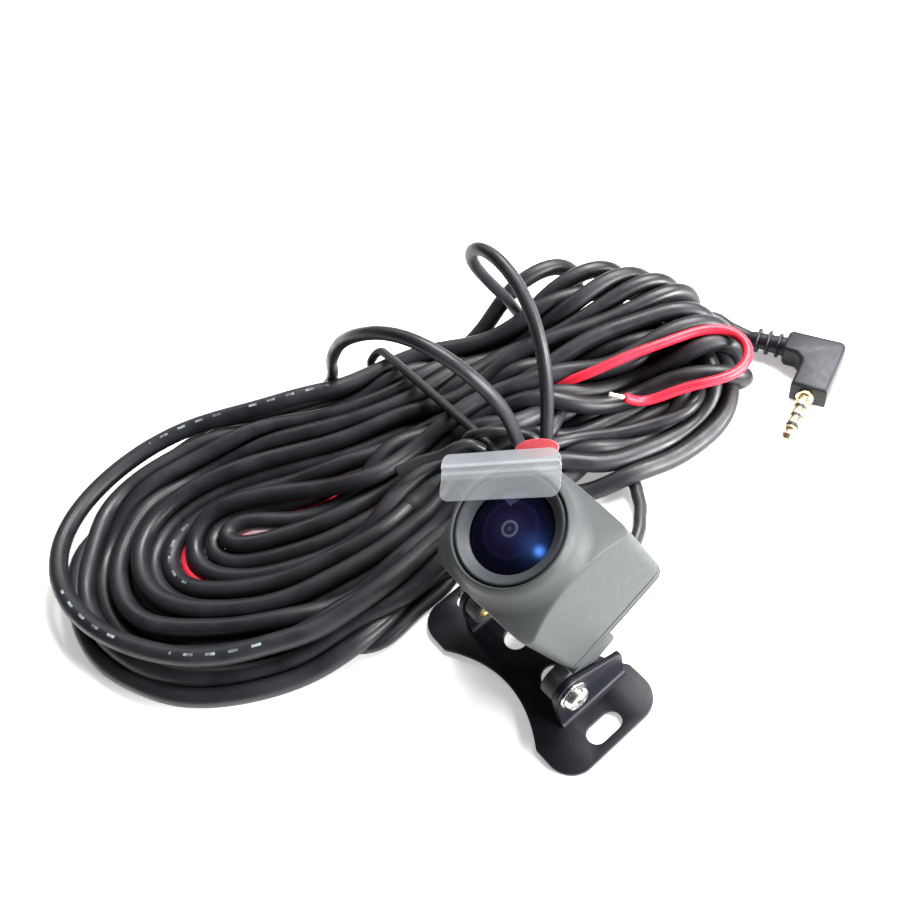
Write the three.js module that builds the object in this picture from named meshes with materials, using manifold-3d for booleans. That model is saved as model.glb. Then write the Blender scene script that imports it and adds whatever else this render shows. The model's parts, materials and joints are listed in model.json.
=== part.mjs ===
// A small vehicle backup camera: a square tilting head on a folded steel bracket, with its long lead
// wound in an oblong hank that ends in a right-angle four-pole jack plug.
// Millimetres, +Z up. The origin is the centre of the bracket plate's underside, X runs along the
// plate and the head tilts about an axis parallel to X.
import * as THREE from "three";
import { mergeVertices } from "three/addons/utils/BufferGeometryUtils.js";
import Module from "manifold-3d";

const wasm = await Module();
wasm.setup();

// ---- Driving dimensions ----

const GAP = 0.3; // left between pieces that touch

// Bracket, folded from one sheet
const SHEET = 1.0;
const PLATE_HALF_LENGTH = 20.2;
const PLATE_HALF_WIDTH = 10.7;
const PLATE_CORNER = 4.6;
const WAIST_START = 12.2;
const WAIST_HALF_WIDTH = 6.6;
const ROUND_HOLE_X = 4.9;
const ROUND_HOLE_R = 2.2;
const SLOT_X = 17.0;
const SLOT_HALF_LENGTH = 3.4;
const SLOT_R = 1.7;
const EAR_OUTER_X = 12.3;
const EAR_FRONT_Y = -5.0;
const EAR_REAR_Y = 9.2;
const EAR_REAR_Z = 8.2;
const EAR_R = 3.3;

// Tilt pivot
const PIVOT_Y = -1.8;
const PIVOT_Z = 9.5;
const TILT_AT_REST = 18.9; // degrees from the plate's normal
const SCREW_R = 1.15;
const SCREW_HOLE_R = 1.4;
const SCREW_HEAD_R = 2.2;
const SCREW_HEAD_HEIGHT = 1.5;
const WASHER_R = 2.6;
const WASHER_THICK = 0.4;

// Head, in its own frame: z = 0 is the back face, +z looks out of the lens
const HEAD = 22.0;
const HEAD_CORNER = 1.9;
const PIVOT_BELOW_AXIS = 13.4;
const PIVOT_BEHIND_BACK = 1.05;
const COVER_THICK = 2.2;
const GASKET_THICK = 0.5;
const WALL = 1.7;
const LUG_INNER_X = 8.2;
const LUG_R = 3.0;
const RIM_R = 9.1;
const RIM_Z = 28.0;
const BEZEL_R = 8.45;
const GLASS_R = 6.5;
const COVER_SCREW_X = 5.9;
const COVER_SCREW_Y = 8.1;
const GLAND_Y = 3.5;
const GLAND_LENGTH = 5.6;
const BOARD = 16.6;
const BOARD_THICK = 1.0;

// Lead, trigger wire and hank
const LEAD = 2.5;
const TRIGGER_WIRE = 2.0;
const HANK_HEIGHT = 12.5;
const TIE_Y = 18.7;
const TIE_FAR_X = -68.0;
const TIE_NEAR_X = -20.6;
const TIE_THICK = 1.2;
const TIE_HALF_WIDTH = 0.9;

// Plug
const PLUG_X = -7.1;
const PLUG_Y = 84.8;
const PLUG_TURN = 21.2; // degrees from X
const PLUG_THICK = 5.2;
const JACK_R = 1.25;
const JACK_FOOT = 11.0;

// ---- Helpers ----

const radians = THREE.MathUtils.degToRad;

function solidOf(geometry) {
  const bare = geometry.clone();
  bare.deleteAttribute("normal");
  bare.deleteAttribute("uv");
  const merged = mergeVertices(bare, 1e-4);
  return new wasm.Manifold(
    new wasm.Mesh({
      numProp: 3,
      vertProperties: merged.attributes.position.array,
      triVerts: new Uint32Array(merged.index.array),
    }),
  );
}

function geometryOf(solid) {
  const mesh = solid.getMesh();
  return new THREE.BufferGeometry()
    .setAttribute("position", new THREE.BufferAttribute(mesh.vertProperties, mesh.numProp))
    .setIndex(new THREE.BufferAttribute(mesh.triVerts, 1))
    .toNonIndexed();
}

function cut(base, ...tools) {
  return geometryOf(tools.reduce((left, tool) => left.subtract(solidOf(tool)), solidOf(base)));
}

function join(base, ...others) {
  return geometryOf(others.reduce((sum, other) => sum.add(solidOf(other)), solidOf(base)));
}

function common(a, b) {
  return geometryOf(solidOf(a).intersect(solidOf(b)));
}

// A closed outline of [x, y] points.
function outline(points) {
  return new THREE.Shape(points.map(([x, y]) => new THREE.Vector2(x, y)));
}

function roundedRectangle(width, height, corner) {
  const x = width / 2;
  const y = height / 2;
  const shape = new THREE.Shape();
  shape.moveTo(corner - x, -y);
  shape.lineTo(x - corner, -y);
  shape.absarc(x - corner, corner - y, corner, -Math.PI / 2, 0);
  shape.lineTo(x, y - corner);
  shape.absarc(x - corner, y - corner, corner, 0, Math.PI / 2);
  shape.lineTo(corner - x, y);
  shape.absarc(corner - x, y - corner, corner, Math.PI / 2, Math.PI);
  shape.lineTo(-x, corner - y);
  shape.absarc(corner - x, corner - y, corner, Math.PI, 1.5 * Math.PI);
  return shape;
}

// A flat shape stretched from one height to another.
function raised(shape, low, high, curveSegments = 6) {
  return new THREE.ExtrudeGeometry(shape, {
    depth: high - low,
    bevelEnabled: false,
    curveSegments,
  }).translate(0, 0, low);
}

function roundedBlock(width, height, corner, low, high) {
  return raised(roundedRectangle(width, height, corner), low, high, 3);
}

function block(width, height, low, high, x = 0, y = 0) {
  return new THREE.BoxGeometry(width, height, high - low).translate(x, y, (low + high) / 2);
}

function disc(radius, low, high, sides = 32, x = 0, y = 0) {
  return new THREE.CylinderGeometry(radius, radius, high - low, sides)
    .rotateX(Math.PI / 2)
    .translate(x, y, (low + high) / 2);
}

// A profile of [radius, z] points turned about Z. A ring's profile closes on itself.
function turned(profile, sides = 32) {
  const points = profile.map(([r, z]) => new THREE.Vector2(r, z));
  const clockwise = THREE.ShapeUtils.area(points) < 0;
  return new THREE.LatheGeometry(clockwise ? points.reverse() : points, sides).rotateX(Math.PI / 2);
}

function ring(inner, outer, low, high, sides = 32) {
  const section = [[inner, low], [outer, low], [outer, high], [inner, high], [inner, low]];
  return turned(section, sides);
}

// A cord's tube through hand-placed points.
function tube(points, diameter, steps) {
  const section = new THREE.Shape().absarc(0, 0, diameter / 2, 0, 2 * Math.PI);
  const path = new THREE.CatmullRomCurve3(points.map((p) => new THREE.Vector3(...p)), false, "centripetal");
  return new THREE.ExtrudeGeometry(section, { steps, extrudePath: path, curveSegments: 4 });
}

const object = new THREE.Group();
const headPivot = new THREE.Group();
headPivot.position.set(0, PIVOT_Y, PIVOT_Z);
headPivot.rotation.x = radians(TILT_AT_REST);
const head = new THREE.Group();
head.position.set(0, PIVOT_BELOW_AXIS, PIVOT_BEHIND_BACK);
headPivot.add(head);
object.add(headPivot);

function finish(color, roughness, metalness = 0) {
  return new THREE.MeshStandardMaterial({ color, roughness, metalness });
}

const BLACK_PAINT = finish(0x101114, 0.4);
const BLACK_PLASTIC = finish(0x1c1e20, 0.55);
const COVER_PLASTIC = finish(0x26282a, 0.6);
const BEZEL_PLASTIC = finish(0x303236, 0.45);
const CHROME = finish(0xd8d8d8, 0.2, 1);
const BRASS = finish(0xb08a3c, 0.35, 1);
const GOLD = finish(0xe0c060, 0.25, 1);
const RUBBER = finish(0x141414, 0.8);
const PVC = finish(0x17181a, 0.4);
const RED_PVC = finish(0xc8202c, 0.4);
const LENS_GLASS = finish(0x0b1020, 0.05);
const FILTER_GLASS = finish(0x5a8a98, 0.1);
const BOARD_GREEN = finish(0x1f5a35, 0.6);
const SILICON = finish(0x3a3f48, 0.3, 0.4);
const NYLON = finish(0xe6e0d0, 0.6);
const FILM = finish(0xdfe6ea, 0.15);
const TINNED = finish(0xb8bcc0, 0.35, 1);

function piece(parent, name, geometry, material) {
  const mesh = new THREE.Mesh(geometry, material);
  mesh.name = name;
  parent.add(mesh);
  return mesh;
}

// ---- Bracket ----

function plateShape() {
  const side = PLATE_HALF_LENGTH - PLATE_CORNER;
  const end = PLATE_HALF_WIDTH - PLATE_CORNER;
  const shape = new THREE.Shape();
  shape.moveTo(-WAIST_START, -PLATE_HALF_WIDTH);
  shape.quadraticCurveTo(0, 2 * -WAIST_HALF_WIDTH + PLATE_HALF_WIDTH, WAIST_START, -PLATE_HALF_WIDTH);
  shape.lineTo(side, -PLATE_HALF_WIDTH);
  shape.absarc(side, -end, PLATE_CORNER, -Math.PI / 2, 0);
  shape.absarc(side, end, PLATE_CORNER, 0, Math.PI / 2);
  shape.lineTo(WAIST_START, PLATE_HALF_WIDTH);
  shape.quadraticCurveTo(0, 2 * WAIST_HALF_WIDTH - PLATE_HALF_WIDTH, -WAIST_START, PLATE_HALF_WIDTH);
  shape.lineTo(-side, PLATE_HALF_WIDTH);
  shape.absarc(-side, end, PLATE_CORNER, Math.PI / 2, Math.PI);
  shape.absarc(-side, -end, PLATE_CORNER, Math.PI, 1.5 * Math.PI);
  return shape;
}

// An ear seen from the side, as a shape in the Y-Z plane with its pivot hole.
function earShape() {
  const shape = new THREE.Shape();
  shape.moveTo(EAR_FRONT_Y, SHEET / 2);
  shape.absarc(PIVOT_Y, PIVOT_Z, EAR_R, Math.PI, Math.PI * 0.42, true);
  shape.lineTo(EAR_REAR_Y - 1.2, EAR_REAR_Z);
  shape.absarc(EAR_REAR_Y - 1.2, EAR_REAR_Z - 1.2, 1.2, Math.PI / 2, 0, true);
  shape.lineTo(EAR_REAR_Y, SHEET / 2);
  const hole = new THREE.Path().absarc(PIVOT_Y, PIVOT_Z, SCREW_HOLE_R, 0, 2 * Math.PI);
  shape.holes.push(hole);
  return shape;
}

// A shape drawn in Y-Z, stretched along X.
function acrossX(shape, low, high, curveSegments = 6) {
  return raised(shape, low, high, curveSegments).rotateZ(Math.PI / 2).rotateY(Math.PI / 2);
}

function slotTool(x) {
  const shape = roundedRectangle(2 * SLOT_R, 2 * SLOT_HALF_LENGTH, SLOT_R - 0.01);
  return raised(shape, -1, SHEET + 1, 4).translate(x, 0, 0);
}

function bracket() {
  const plate = raised(plateShape(), 0, SHEET, 8);
  const right = acrossX(earShape(), EAR_OUTER_X - SHEET, EAR_OUTER_X);
  const left = acrossX(earShape(), -EAR_OUTER_X, SHEET - EAR_OUTER_X);
  const holes = [-1, 1].map((side) => disc(ROUND_HOLE_R, -1, SHEET + 1, 18, side * ROUND_HOLE_X));
  return cut(join(plate, left, right), ...holes, slotTool(SLOT_X), slotTool(-SLOT_X));
}

piece(object, "bracket", bracket(), BLACK_PAINT);

// ---- Head shell ----

const COVER_TOP = COVER_THICK;
const SHELL_BACK = COVER_TOP + GASKET_THICK + 0.2;
const CAVITY_FRONT = 18.0;
const BARREL_BORE_R = 7.3;
const SEAT_Z = 24.4;

// The front tapers from the square body to the round rim on a hollow cone.
function frontCone() {
  return turned([
    [0, SHELL_BACK],
    [HEAD, SHELL_BACK],
    [HEAD, 15.6],
    [15.8, 18.6],
    [14.1, 21.1],
    [12.2, 23.2],
    [11.0, 24.4],
    [10.1, 25.9],
    [9.6, 27.3],
    [RIM_R, RIM_Z],
    [0, RIM_Z],
  ], 32);
}

function coverScrewPlaces() {
  return [[-1, -1], [1, -1], [-1, 1], [1, 1]].map(([i, j]) => [i * COVER_SCREW_X, j * COVER_SCREW_Y]);
}

function frontHousing() {
  const body = common(roundedBlock(HEAD, HEAD, HEAD_CORNER, SHELL_BACK, RIM_Z + 1), frontCone());
  const inside = HEAD - 2 * WALL;
  const hollow = cut(
    body,
    roundedBlock(inside, inside, 1, SHELL_BACK - 1, CAVITY_FRONT),
    disc(BARREL_BORE_R, CAVITY_FRONT - 1, RIM_Z + 1, 28),
    disc(BEZEL_R + 0.15, SEAT_Z, RIM_Z + 1, 32),
  );
  const posts = coverScrewPlaces().map(([x, y]) => block(3.6, 3.4, SHELL_BACK, CAVITY_FRONT + 0.5, x, Math.sign(y) * 8.2));
  const pilots = coverScrewPlaces().map(([x, y]) => disc(0.85, SHELL_BACK - 1, 11, 8, x, y));
  return cut(join(hollow, ...posts), ...pilots);
}

// Hinge lug of the rear cover, a rib along the back face that ends round about the pivot.
function lugShape() {
  const y = -PIVOT_BELOW_AXIS;
  const z = -PIVOT_BEHIND_BACK;
  const shape = new THREE.Shape();
  shape.moveTo(-HEAD / 2 + 0.02, COVER_TOP - 0.2);
  shape.absarc(y, z, LUG_R, radians(70), radians(285));
  shape.lineTo(-4.2, -3.0);
  shape.absarc(-3.3, -1.9, 1.1, radians(-90), 0);
  shape.lineTo(-2.2, 0.4);
  shape.lineTo(-HEAD / 2 + 0.02, 0.4);
  const hole = new THREE.Path().absarc(y, z, 1.9, 0, 2 * Math.PI);
  shape.holes.push(hole);
  return shape;
}

function rearCover() {
  const plate = roundedBlock(HEAD, HEAD, HEAD_CORNER, 0, COVER_TOP);
  const lugs = [LUG_INNER_X, -HEAD / 2].map((low) => acrossX(lugShape(), low, low + HEAD / 2 - LUG_INNER_X));
  const seats = coverScrewPlaces().flatMap(([x, y]) => [
    disc(1.9, -1, 1.2, 14, x, y),
    disc(0.95, -1, COVER_TOP + 1, 8, x, y),
  ]);
  return cut(join(plate, ...lugs), ...seats, disc(2.3, -1, COVER_TOP + 1, 16, 0, GLAND_Y));
}

function rearGasket() {
  const low = COVER_TOP + 0.1;
  const outside = roundedBlock(HEAD - 0.8, HEAD - 0.8, 1.5, low, low + GASKET_THICK);
  return cut(outside, roundedBlock(HEAD - 2.8, HEAD - 2.8, 0.8, low - 1, low + 2));
}

piece(head, "front_housing", frontHousing(), BLACK_PLASTIC);
piece(head, "rear_cover", rearCover(), COVER_PLASTIC);
piece(head, "rear_gasket", rearGasket(), RUBBER);

// A pan-head screw with a cross recess, its head at z = 0 looking towards -z.
function panScrew(headR, headHeight, shankR, length, sides = 12) {
  const blank = turned([
    [0, -headHeight],
    [headR * 0.75, -headHeight * 0.85],
    [headR, -headHeight * 0.3],
    [headR, 0],
    [shankR, 0],
    [shankR, length],
    [0, length],
  ], sides);
  const arm = headR * 1.15;
  const depth = -headHeight * 0.45;
  return cut(
    blank,
    block(arm, headR * 0.26, -headHeight - 1, depth),
    block(headR * 0.26, arm, -headHeight - 1, depth),
  );
}

coverScrewPlaces().forEach(([x, y], i) => {
  const screw = panScrew(1.6, 1.0, 0.7, 7.4);
  piece(head, `cover_screw_${i + 1}`, screw, CHROME).position.set(x, y, 1.1);
});

// ---- Lens group ----

function bezel() {
  return turned([
    [GLASS_R, 26.7],
    [GLASS_R, 26.5],
    [7.0, 26.45],
    [7.0, 25.2],
    [BEZEL_R, 25.2],
    [BEZEL_R, 27.55],
    [8.15, 27.9],
    [7.8, 27.9],
    [GLASS_R, 26.7],
  ], 32);
}

function frontLens() {
  const rise = [[6.8, 26.2], [5.6, 26.6], [4.2, 26.95], [2.8, 27.2], [1.4, 27.34], [0, 27.4]];
  return turned([[0, 25.0], [6.8, 25.0], ...rise], 28);
}

function lensBarrel() {
  return turned([
    [3.9, 14.2],
    [4.8, 14.2],
    [4.8, 19.8],
    [6.9, 20.4],
    [6.9, 24.7],
    [5.6, 24.7],
    [5.6, 21.6],
    [3.9, 20.8],
    [3.9, 14.2],
  ], 24);
}

function lensDisc(radius, low, high, bulge) {
  return turned([
    [0, low - bulge],
    [radius * 0.6, low - bulge * 0.6],
    [radius, low],
    [radius, high],
    [radius * 0.6, high + bulge * 0.6],
    [0, high + bulge],
  ], 18);
}

function lensHolder() {
  const base = roundedBlock(10.6, 10.6, 0.8, 11.1, 15.2);
  const ears = block(14.6, 2.8, 11.1, 12.8);
  const neck = disc(6.0, 15.0, 18.2, 24);
  return cut(
    join(base, ears, neck),
    block(6.6, 6.6, 10, 13.2),
    disc(3.0, 13, 14, 16),
    disc(4.95, 13.7, 19, 24),
    disc(0.6, 10, 13, 8, 6.4, 0),
    disc(0.6, 10, 13, 8, -6.4, 0),
  );
}

piece(head, "lens_bezel", bezel(), BEZEL_PLASTIC);
piece(head, "front_lens", frontLens(), LENS_GLASS);
piece(head, "lens_seal", ring(7.45, 8.4, 24.45, 25.1, 28), RUBBER);
piece(head, "lens_barrel", lensBarrel(), BLACK_PLASTIC);
piece(head, "aperture_plate", ring(1.6, 5.5, 21.75, 22.15, 20), BLACK_PLASTIC);
piece(head, "second_lens", lensDisc(5.4, 22.7, 23.8, 0.4), LENS_GLASS);
piece(head, "third_lens", lensDisc(3.7, 19.0, 20.2, 0.4), LENS_GLASS);
piece(head, "lens_spacer", ring(3.2, 3.75, 17.2, 18.8, 20), BLACK_PLASTIC);
piece(head, "rear_lens", lensDisc(3.7, 15.4, 16.7, 0.4), LENS_GLASS);
piece(head, "infrared_filter", disc(4.4, 13.8, 14.1, 18), FILTER_GLASS);
piece(head, "lens_holder", lensHolder(), BLACK_PLASTIC);

// ---- Electronics ----

function board(low) {
  const half = BOARD / 2;
  const chamfer = 2.6;
  const notch = [3.8, 6.1]; // clears the screw posts in the top and bottom edges
  const plain = raised(outline([
    [-half + chamfer, -notch[1]],
    [half - chamfer, -notch[1]],
    [half, -notch[1] + chamfer],
    [half, notch[1] - chamfer],
    [half - chamfer, notch[1]],
    [-half + chamfer, notch[1]],
    [-half, notch[1] - chamfer],
    [-half, -notch[1] + chamfer],
  ]), low, low + BOARD_THICK);
  return join(plain, block(2 * notch[0], BOARD, low, low + BOARD_THICK));
}

function sensorBoard() {
  const holes = [-6.4, 6.4].map((x) => disc(0.7, 9, 12, 8, x, 0));
  return cut(board(10.0), ...holes);
}

function inductor() {
  return join(block(3.4, 3.4, 8.1, 9.2, 4.6, -2.6), disc(1.2, 9.1, 9.6, 16, 4.6, -2.6));
}

piece(head, "sensor_board", sensorBoard(), BOARD_GREEN);
piece(head, "image_sensor", block(6.0, 6.0, 11.1, 12.0), SILICON);
piece(head, "power_board", board(7.0), BOARD_GREEN);
piece(head, "board_header", block(7.0, 2.0, 8.1, 9.9, 0, 4.6), NYLON);
piece(head, "inductor", inductor(), SILICON);
piece(head, "lead_socket", block(6.2, 3.4, 5.0, 6.9, 0, GLAND_Y), NYLON);
piece(head, "lead_crimp_plug", block(5.4, 2.8, 3.5, 4.9, 0, GLAND_Y), NYLON);
[-6.4, 6.4].forEach((x, i) => {
  const screw = panScrew(1.1, 0.6, 0.45, 2.9);
  piece(head, `holder_screw_${i + 1}`, screw, CHROME).position.set(x, 0, 9.9);
});

// ---- Cable gland ----

function cableGland() {
  const end = -GLAND_LENGTH;
  return turned([
    [1.4, end],
    [1.9, end],
    [2.2, end + 1.6],
    [1.9, end + 1.7],
    [2.0, end + 2.3],
    [2.5, end + 2.4],
    [2.7, end + 3.8],
    [2.1, end + 3.9],
    [2.2, end + 4.4],
    [3.0, end + 4.5],
    [3.1, -0.1],
    [2.15, -0.1],
    [2.15, COVER_TOP + 0.1],
    [2.9, COVER_TOP + 0.1],
    [2.9, COVER_TOP + 0.6],
    [1.4, COVER_TOP + 0.6],
    [1.4, end],
  ], 14);
}

piece(head, "cable_gland", cableGland(), RUBBER).position.set(0, GLAND_Y, 0);
piece(head, "lead_inner_end", disc(LEAD / 2, -GLAND_LENGTH, 3.3, 12, 0, GLAND_Y), PVC);

// ---- Pivot hardware, in the head's own frame ----

function pivotHardware(side, name) {
  const across = new THREE.Group();
  across.position.set(0, -PIVOT_BELOW_AXIS, -PIVOT_BEHIND_BACK);
  across.rotation.y = side * Math.PI / 2;
  head.add(across);
  const washerAt = EAR_OUTER_X + 0.1;
  const headAt = washerAt + WASHER_THICK + 0.1;
  const screw = panScrew(SCREW_HEAD_R, SCREW_HEAD_HEIGHT, SCREW_R, headAt - LUG_INNER_X - 0.4, 20);
  const turnedIn = screw.rotateY(Math.PI);
  piece(across, `pivot_screw_${name}`, turnedIn, CHROME).position.z = headAt;
  piece(across, `pivot_washer_${name}`, ring(SCREW_HOLE_R, WASHER_R, washerAt, washerAt + WASHER_THICK, 18), CHROME);
  piece(across, `pivot_insert_${name}`, ring(SCREW_R + 0.1, 1.8, LUG_INNER_X + 0.2, HEAD / 2 - 0.2, 14), BRASS);
}

pivotHardware(1, "right");
pivotHardware(-1, "left");

// ---- Protective film, peeled off the glass and folded over the rim ----

const FILM_TURN = 40;
const FILM_Z = RIM_Z + 0.15;
const FILM_THICK = 0.25;

// The film's section across its fold: flat on the rim, then lifting off it.
function filmStrip() {
  const section = outline([
    [4.1, 0],
    [8.0, 0],
    [11.0, 1.1],
    [10.9, 1.1 + FILM_THICK],
    [7.9, FILM_THICK],
    [4.1, FILM_THICK],
  ]);
  return raised(section, -11.2, 7.4).rotateX(Math.PI / 2).rotateZ(Math.PI / 2);
}

function pullTab() {
  return disc(3.3, 0, 0.3, 20).scale(1, 0.42, 1);
}

const film = new THREE.Group();
film.position.z = FILM_Z;
film.rotation.z = radians(FILM_TURN);
head.add(film);
piece(film, "lens_film", filmStrip(), FILM);
const tab = piece(film, "film_pull_tab", pullTab(), RED_PVC);
tab.position.set(3.7, 11.3, 0.62);
tab.rotation.x = radians(20);

// ---- Lead: hank, loops and tie ----

const HANK_OUTLINE = [
  [-25, -33], [-35, -49], [-43, -55.5], [-60, -61], [-71, -61.5], [-80, -59], [-87, -53],
  [-92.5, -43], [-94, -31], [-91.5, -18.5], [-82, -4.5], [-71, 7.5], [-66.5, 20], [-63, 32],
  [-63, 45], [-63, 58], [-59, 65], [-52, 69], [-41, 72], [-30, 73.5], [-21, 72], [-17, 66],
  [-15, 58], [-14.5, 50], [-16, 41.5], [-19, 34.5], [-22, 24.5], [-24, 9], [-24, -4.5], [-23, -19.5],
];

function tieBand(extra) {
  const outer = roundedRectangle(
    TIE_NEAR_X - TIE_FAR_X + 2 * extra,
    HANK_HEIGHT + 1.0 + 2 * extra,
    1.2 + extra,
  );
  const inner = roundedRectangle(
    TIE_NEAR_X - TIE_FAR_X - 2 * (TIE_THICK + extra),
    HANK_HEIGHT + 1.0 - 2 * (TIE_THICK + extra),
    0.4,
  );
  outer.holes.push(inner);
  const half = TIE_HALF_WIDTH + extra;
  return raised(outer, -half, half, 3)
    .rotateX(Math.PI / 2)
    .translate((TIE_NEAR_X + TIE_FAR_X) / 2, TIE_Y, HANK_HEIGHT / 2 + 0.6);
}

function cableHank() {
  const bends = new THREE.CatmullRomCurve3(HANK_OUTLINE.map(([x, y]) => new THREE.Vector3(x, y, 0)), true);
  const points = bends.getPoints(60).slice(0, -1);
  return cut(raised(outline(points.map((p) => [p.x, p.y])), 0, HANK_HEIGHT), tieBand(GAP));
}

piece(object, "cable_hank", cableHank(), PVC);
piece(object, "twist_tie", tieBand(0), RUBBER);

// From the gland down to the surface and across to the hank.
const CAMERA_LEAD = [
  [0, 15.93, 10.0], [0, 16.7, 7.8], [-0.3, 18.4, 5.2], [-1.0, 21.4, 2.9], [-2.4, 25.8, 1.6],
  [-4.8, 30.4, 1.35], [-8.0, 34.2, 1.35], [-12.6, 37.4, 1.35],
];
// The two loops that stand over the hank.
const FAR_LOOP = [
  [-60.5, 48.4, 13.5], [-58.6, 43.4, 23], [-55.0, 38.6, 33], [-50.0, 37.0, 40.3], [-43.6, 36.8, 41.6],
  [-36.6, 36.0, 37.9], [-30.4, 33.6, 31.8], [-26.4, 30.6, 24.6], [-25.3, 28.4, 17.5], [-25.6, 27.6, 13.2],
];
const NEAR_LOOP = [
  [-78.4, 11.0, 7.6], [-75.3, 10.6, 11.6], [-71.2, 9.8, 16.4], [-63.3, 8.7, 26.2], [-53.5, 9.2, 36.6],
  [-46.0, 11.6, 40.8], [-37.0, 14.6, 42.6], [-29.8, 17.4, 39.2], [-26.4, 20.0, 31], [-26.2, 22.4, 22],
  [-27.5, 23.4, 13.2],
];
const PLUG_LEAD = [
  [-29.6, 75.6, 7.4], [-27.0, 76.9, 5.6], [-24.0, 78.1, 3.7], [-20.9, 79.45, 2.7],
];

piece(object, "lead_camera_end", tube(CAMERA_LEAD, LEAD, 14), PVC);
piece(object, "lead_far_loop", tube(FAR_LOOP, LEAD, 22), PVC);
piece(object, "lead_near_loop", tube(NEAR_LOOP, LEAD, 22), PVC);
piece(object, "lead_plug_end", tube(PLUG_LEAD, LEAD, 4), PVC);

// ---- Trigger wire, folded back at the end of the hank ----

const WIRE_Z = HANK_HEIGHT + GAP + TRIGGER_WIRE / 2;
const WIRE_ROUTE = [
  [-42.3, 32.3, WIRE_Z], [-36.4, 41.2, WIRE_Z], [-30.6, 52.1, WIRE_Z], [-25.5, 63.7, WIRE_Z],
  [-21.9, 69.7, WIRE_Z], [-17.5, 71.9, WIRE_Z], [-14.1, 70.5, WIRE_Z], [-12.4, 67.1, WIRE_Z],
  [-13.0, 63.2, WIRE_Z], [-16.0, 58.8, WIRE_Z], [-20.2, 52.4, WIRE_Z], [-24.4, 46.4, WIRE_Z],
];

piece(object, "trigger_wire", tube(WIRE_ROUTE, TRIGGER_WIRE, 18), RED_PVC);
const strandEnd = piece(object, "trigger_wire_end", disc(0.55, 0.1, 3.6, 10), TINNED);
strandEnd.rotation.set(Math.PI / 2, 0, radians(-35.0), "ZXY");
strandEnd.position.set(-24.43, 46.36, WIRE_Z);

// ---- Plug: +x of its frame is the way the lead runs in, and the jack leaves along -y ----

const plug = new THREE.Group();
plug.position.set(PLUG_X, PLUG_Y, PLUG_THICK / 2);
plug.rotation.z = radians(PLUG_TURN);
object.add(plug);

function plugBody() {
  const shape = outline([
    [-7.5, 2.7], [2.3, 2.7], [3.8, 1.2], [3.8, -JACK_FOOT], [-3.1, -JACK_FOOT],
    [-3.1, -4.4], [-4.8, -2.8], [-7.5, -2.8],
  ]);
  return raised(shape, -PLUG_THICK / 2, PLUG_THICK / 2);
}

// Ribbed sleeve on the lead, turned about the lead's own line.
function plugRelief() {
  const rings = [0, 1, 2].flatMap((i) => {
    const z = 1.3 + i * 1.9;
    const r = 1.65 + i * 0.15;
    return [[r, z], [r + 0.55, z + 0.1], [r + 0.55, z + 0.9], [r + 0.05, z + 1.0]];
  });
  const profile = [[0, 0], [1.5, 0], ...rings, [2.1, 6.9], [0, 6.9]];
  return turned(profile, 12).rotateY(Math.PI / 2).translate(-14.5, 0, 0);
}

// Four-pole jack: [name, length, radius, material], from the plug body outwards.
const JACK_POLES = [
  ["jack_collar", 0.8, 1.7, GOLD],
  ["jack_sleeve", 2.3, JACK_R, GOLD],
  ["jack_insulator_1", 0.55, JACK_R, BLACK_PLASTIC],
  ["jack_ring_1", 1.75, JACK_R, GOLD],
  ["jack_insulator_2", 0.55, JACK_R, BLACK_PLASTIC],
  ["jack_ring_2", 1.75, JACK_R, GOLD],
  ["jack_insulator_3", 0.55, JACK_R, BLACK_PLASTIC],
];
const POLE_GAP = 0.05;

function jackTip() {
  return turned([
    [0, 0], [1.15, 0], [1.2, 0.5], [0.85, 1.1], [0.8, 1.5], [1.22, 2.0],
    [1.2, 2.3], [0.75, 3.1], [0, 3.45],
  ], 14);
}

function addJack() {
  const shaft = new THREE.Group();
  shaft.position.set(0, -JACK_FOOT, 0);
  shaft.rotation.x = Math.PI / 2;
  plug.add(shaft);
  let z = POLE_GAP;
  for (const [name, length, radius, material] of JACK_POLES) {
    piece(shaft, name, disc(radius, z, z + length, 14), material);
    z += length + POLE_GAP;
  }
  piece(shaft, "jack_tip", jackTip(), GOLD).position.z = z;
}

piece(plug, "plug_body", plugBody(), RUBBER);
piece(plug, "plug_strain_relief", plugRelief(), RUBBER);
addJack();

export default object;
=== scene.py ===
"""The looks of the backup camera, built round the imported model.

Shapes are written in millimetres, in the same frame as the CAD source, and turned into metres when
their meshes are made.
"""
import json
import math

import bmesh
import bpy
import numpy as np
from mathutils import Matrix, Vector


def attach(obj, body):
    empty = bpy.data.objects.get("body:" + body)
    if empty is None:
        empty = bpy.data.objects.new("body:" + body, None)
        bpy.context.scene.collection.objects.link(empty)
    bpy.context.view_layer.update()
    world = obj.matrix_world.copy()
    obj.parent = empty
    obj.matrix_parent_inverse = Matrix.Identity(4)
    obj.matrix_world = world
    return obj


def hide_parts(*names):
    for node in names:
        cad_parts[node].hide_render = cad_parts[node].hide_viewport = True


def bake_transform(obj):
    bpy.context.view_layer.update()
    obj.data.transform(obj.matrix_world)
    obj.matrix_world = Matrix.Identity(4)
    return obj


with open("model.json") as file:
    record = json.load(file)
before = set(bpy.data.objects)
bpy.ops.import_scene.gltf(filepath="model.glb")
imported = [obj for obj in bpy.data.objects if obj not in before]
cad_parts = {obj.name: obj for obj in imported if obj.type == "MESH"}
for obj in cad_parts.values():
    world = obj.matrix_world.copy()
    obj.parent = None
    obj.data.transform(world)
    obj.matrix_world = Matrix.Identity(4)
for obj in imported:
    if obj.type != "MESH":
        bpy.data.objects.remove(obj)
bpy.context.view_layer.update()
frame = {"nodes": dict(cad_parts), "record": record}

MM = 0.001  # in metres

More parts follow.
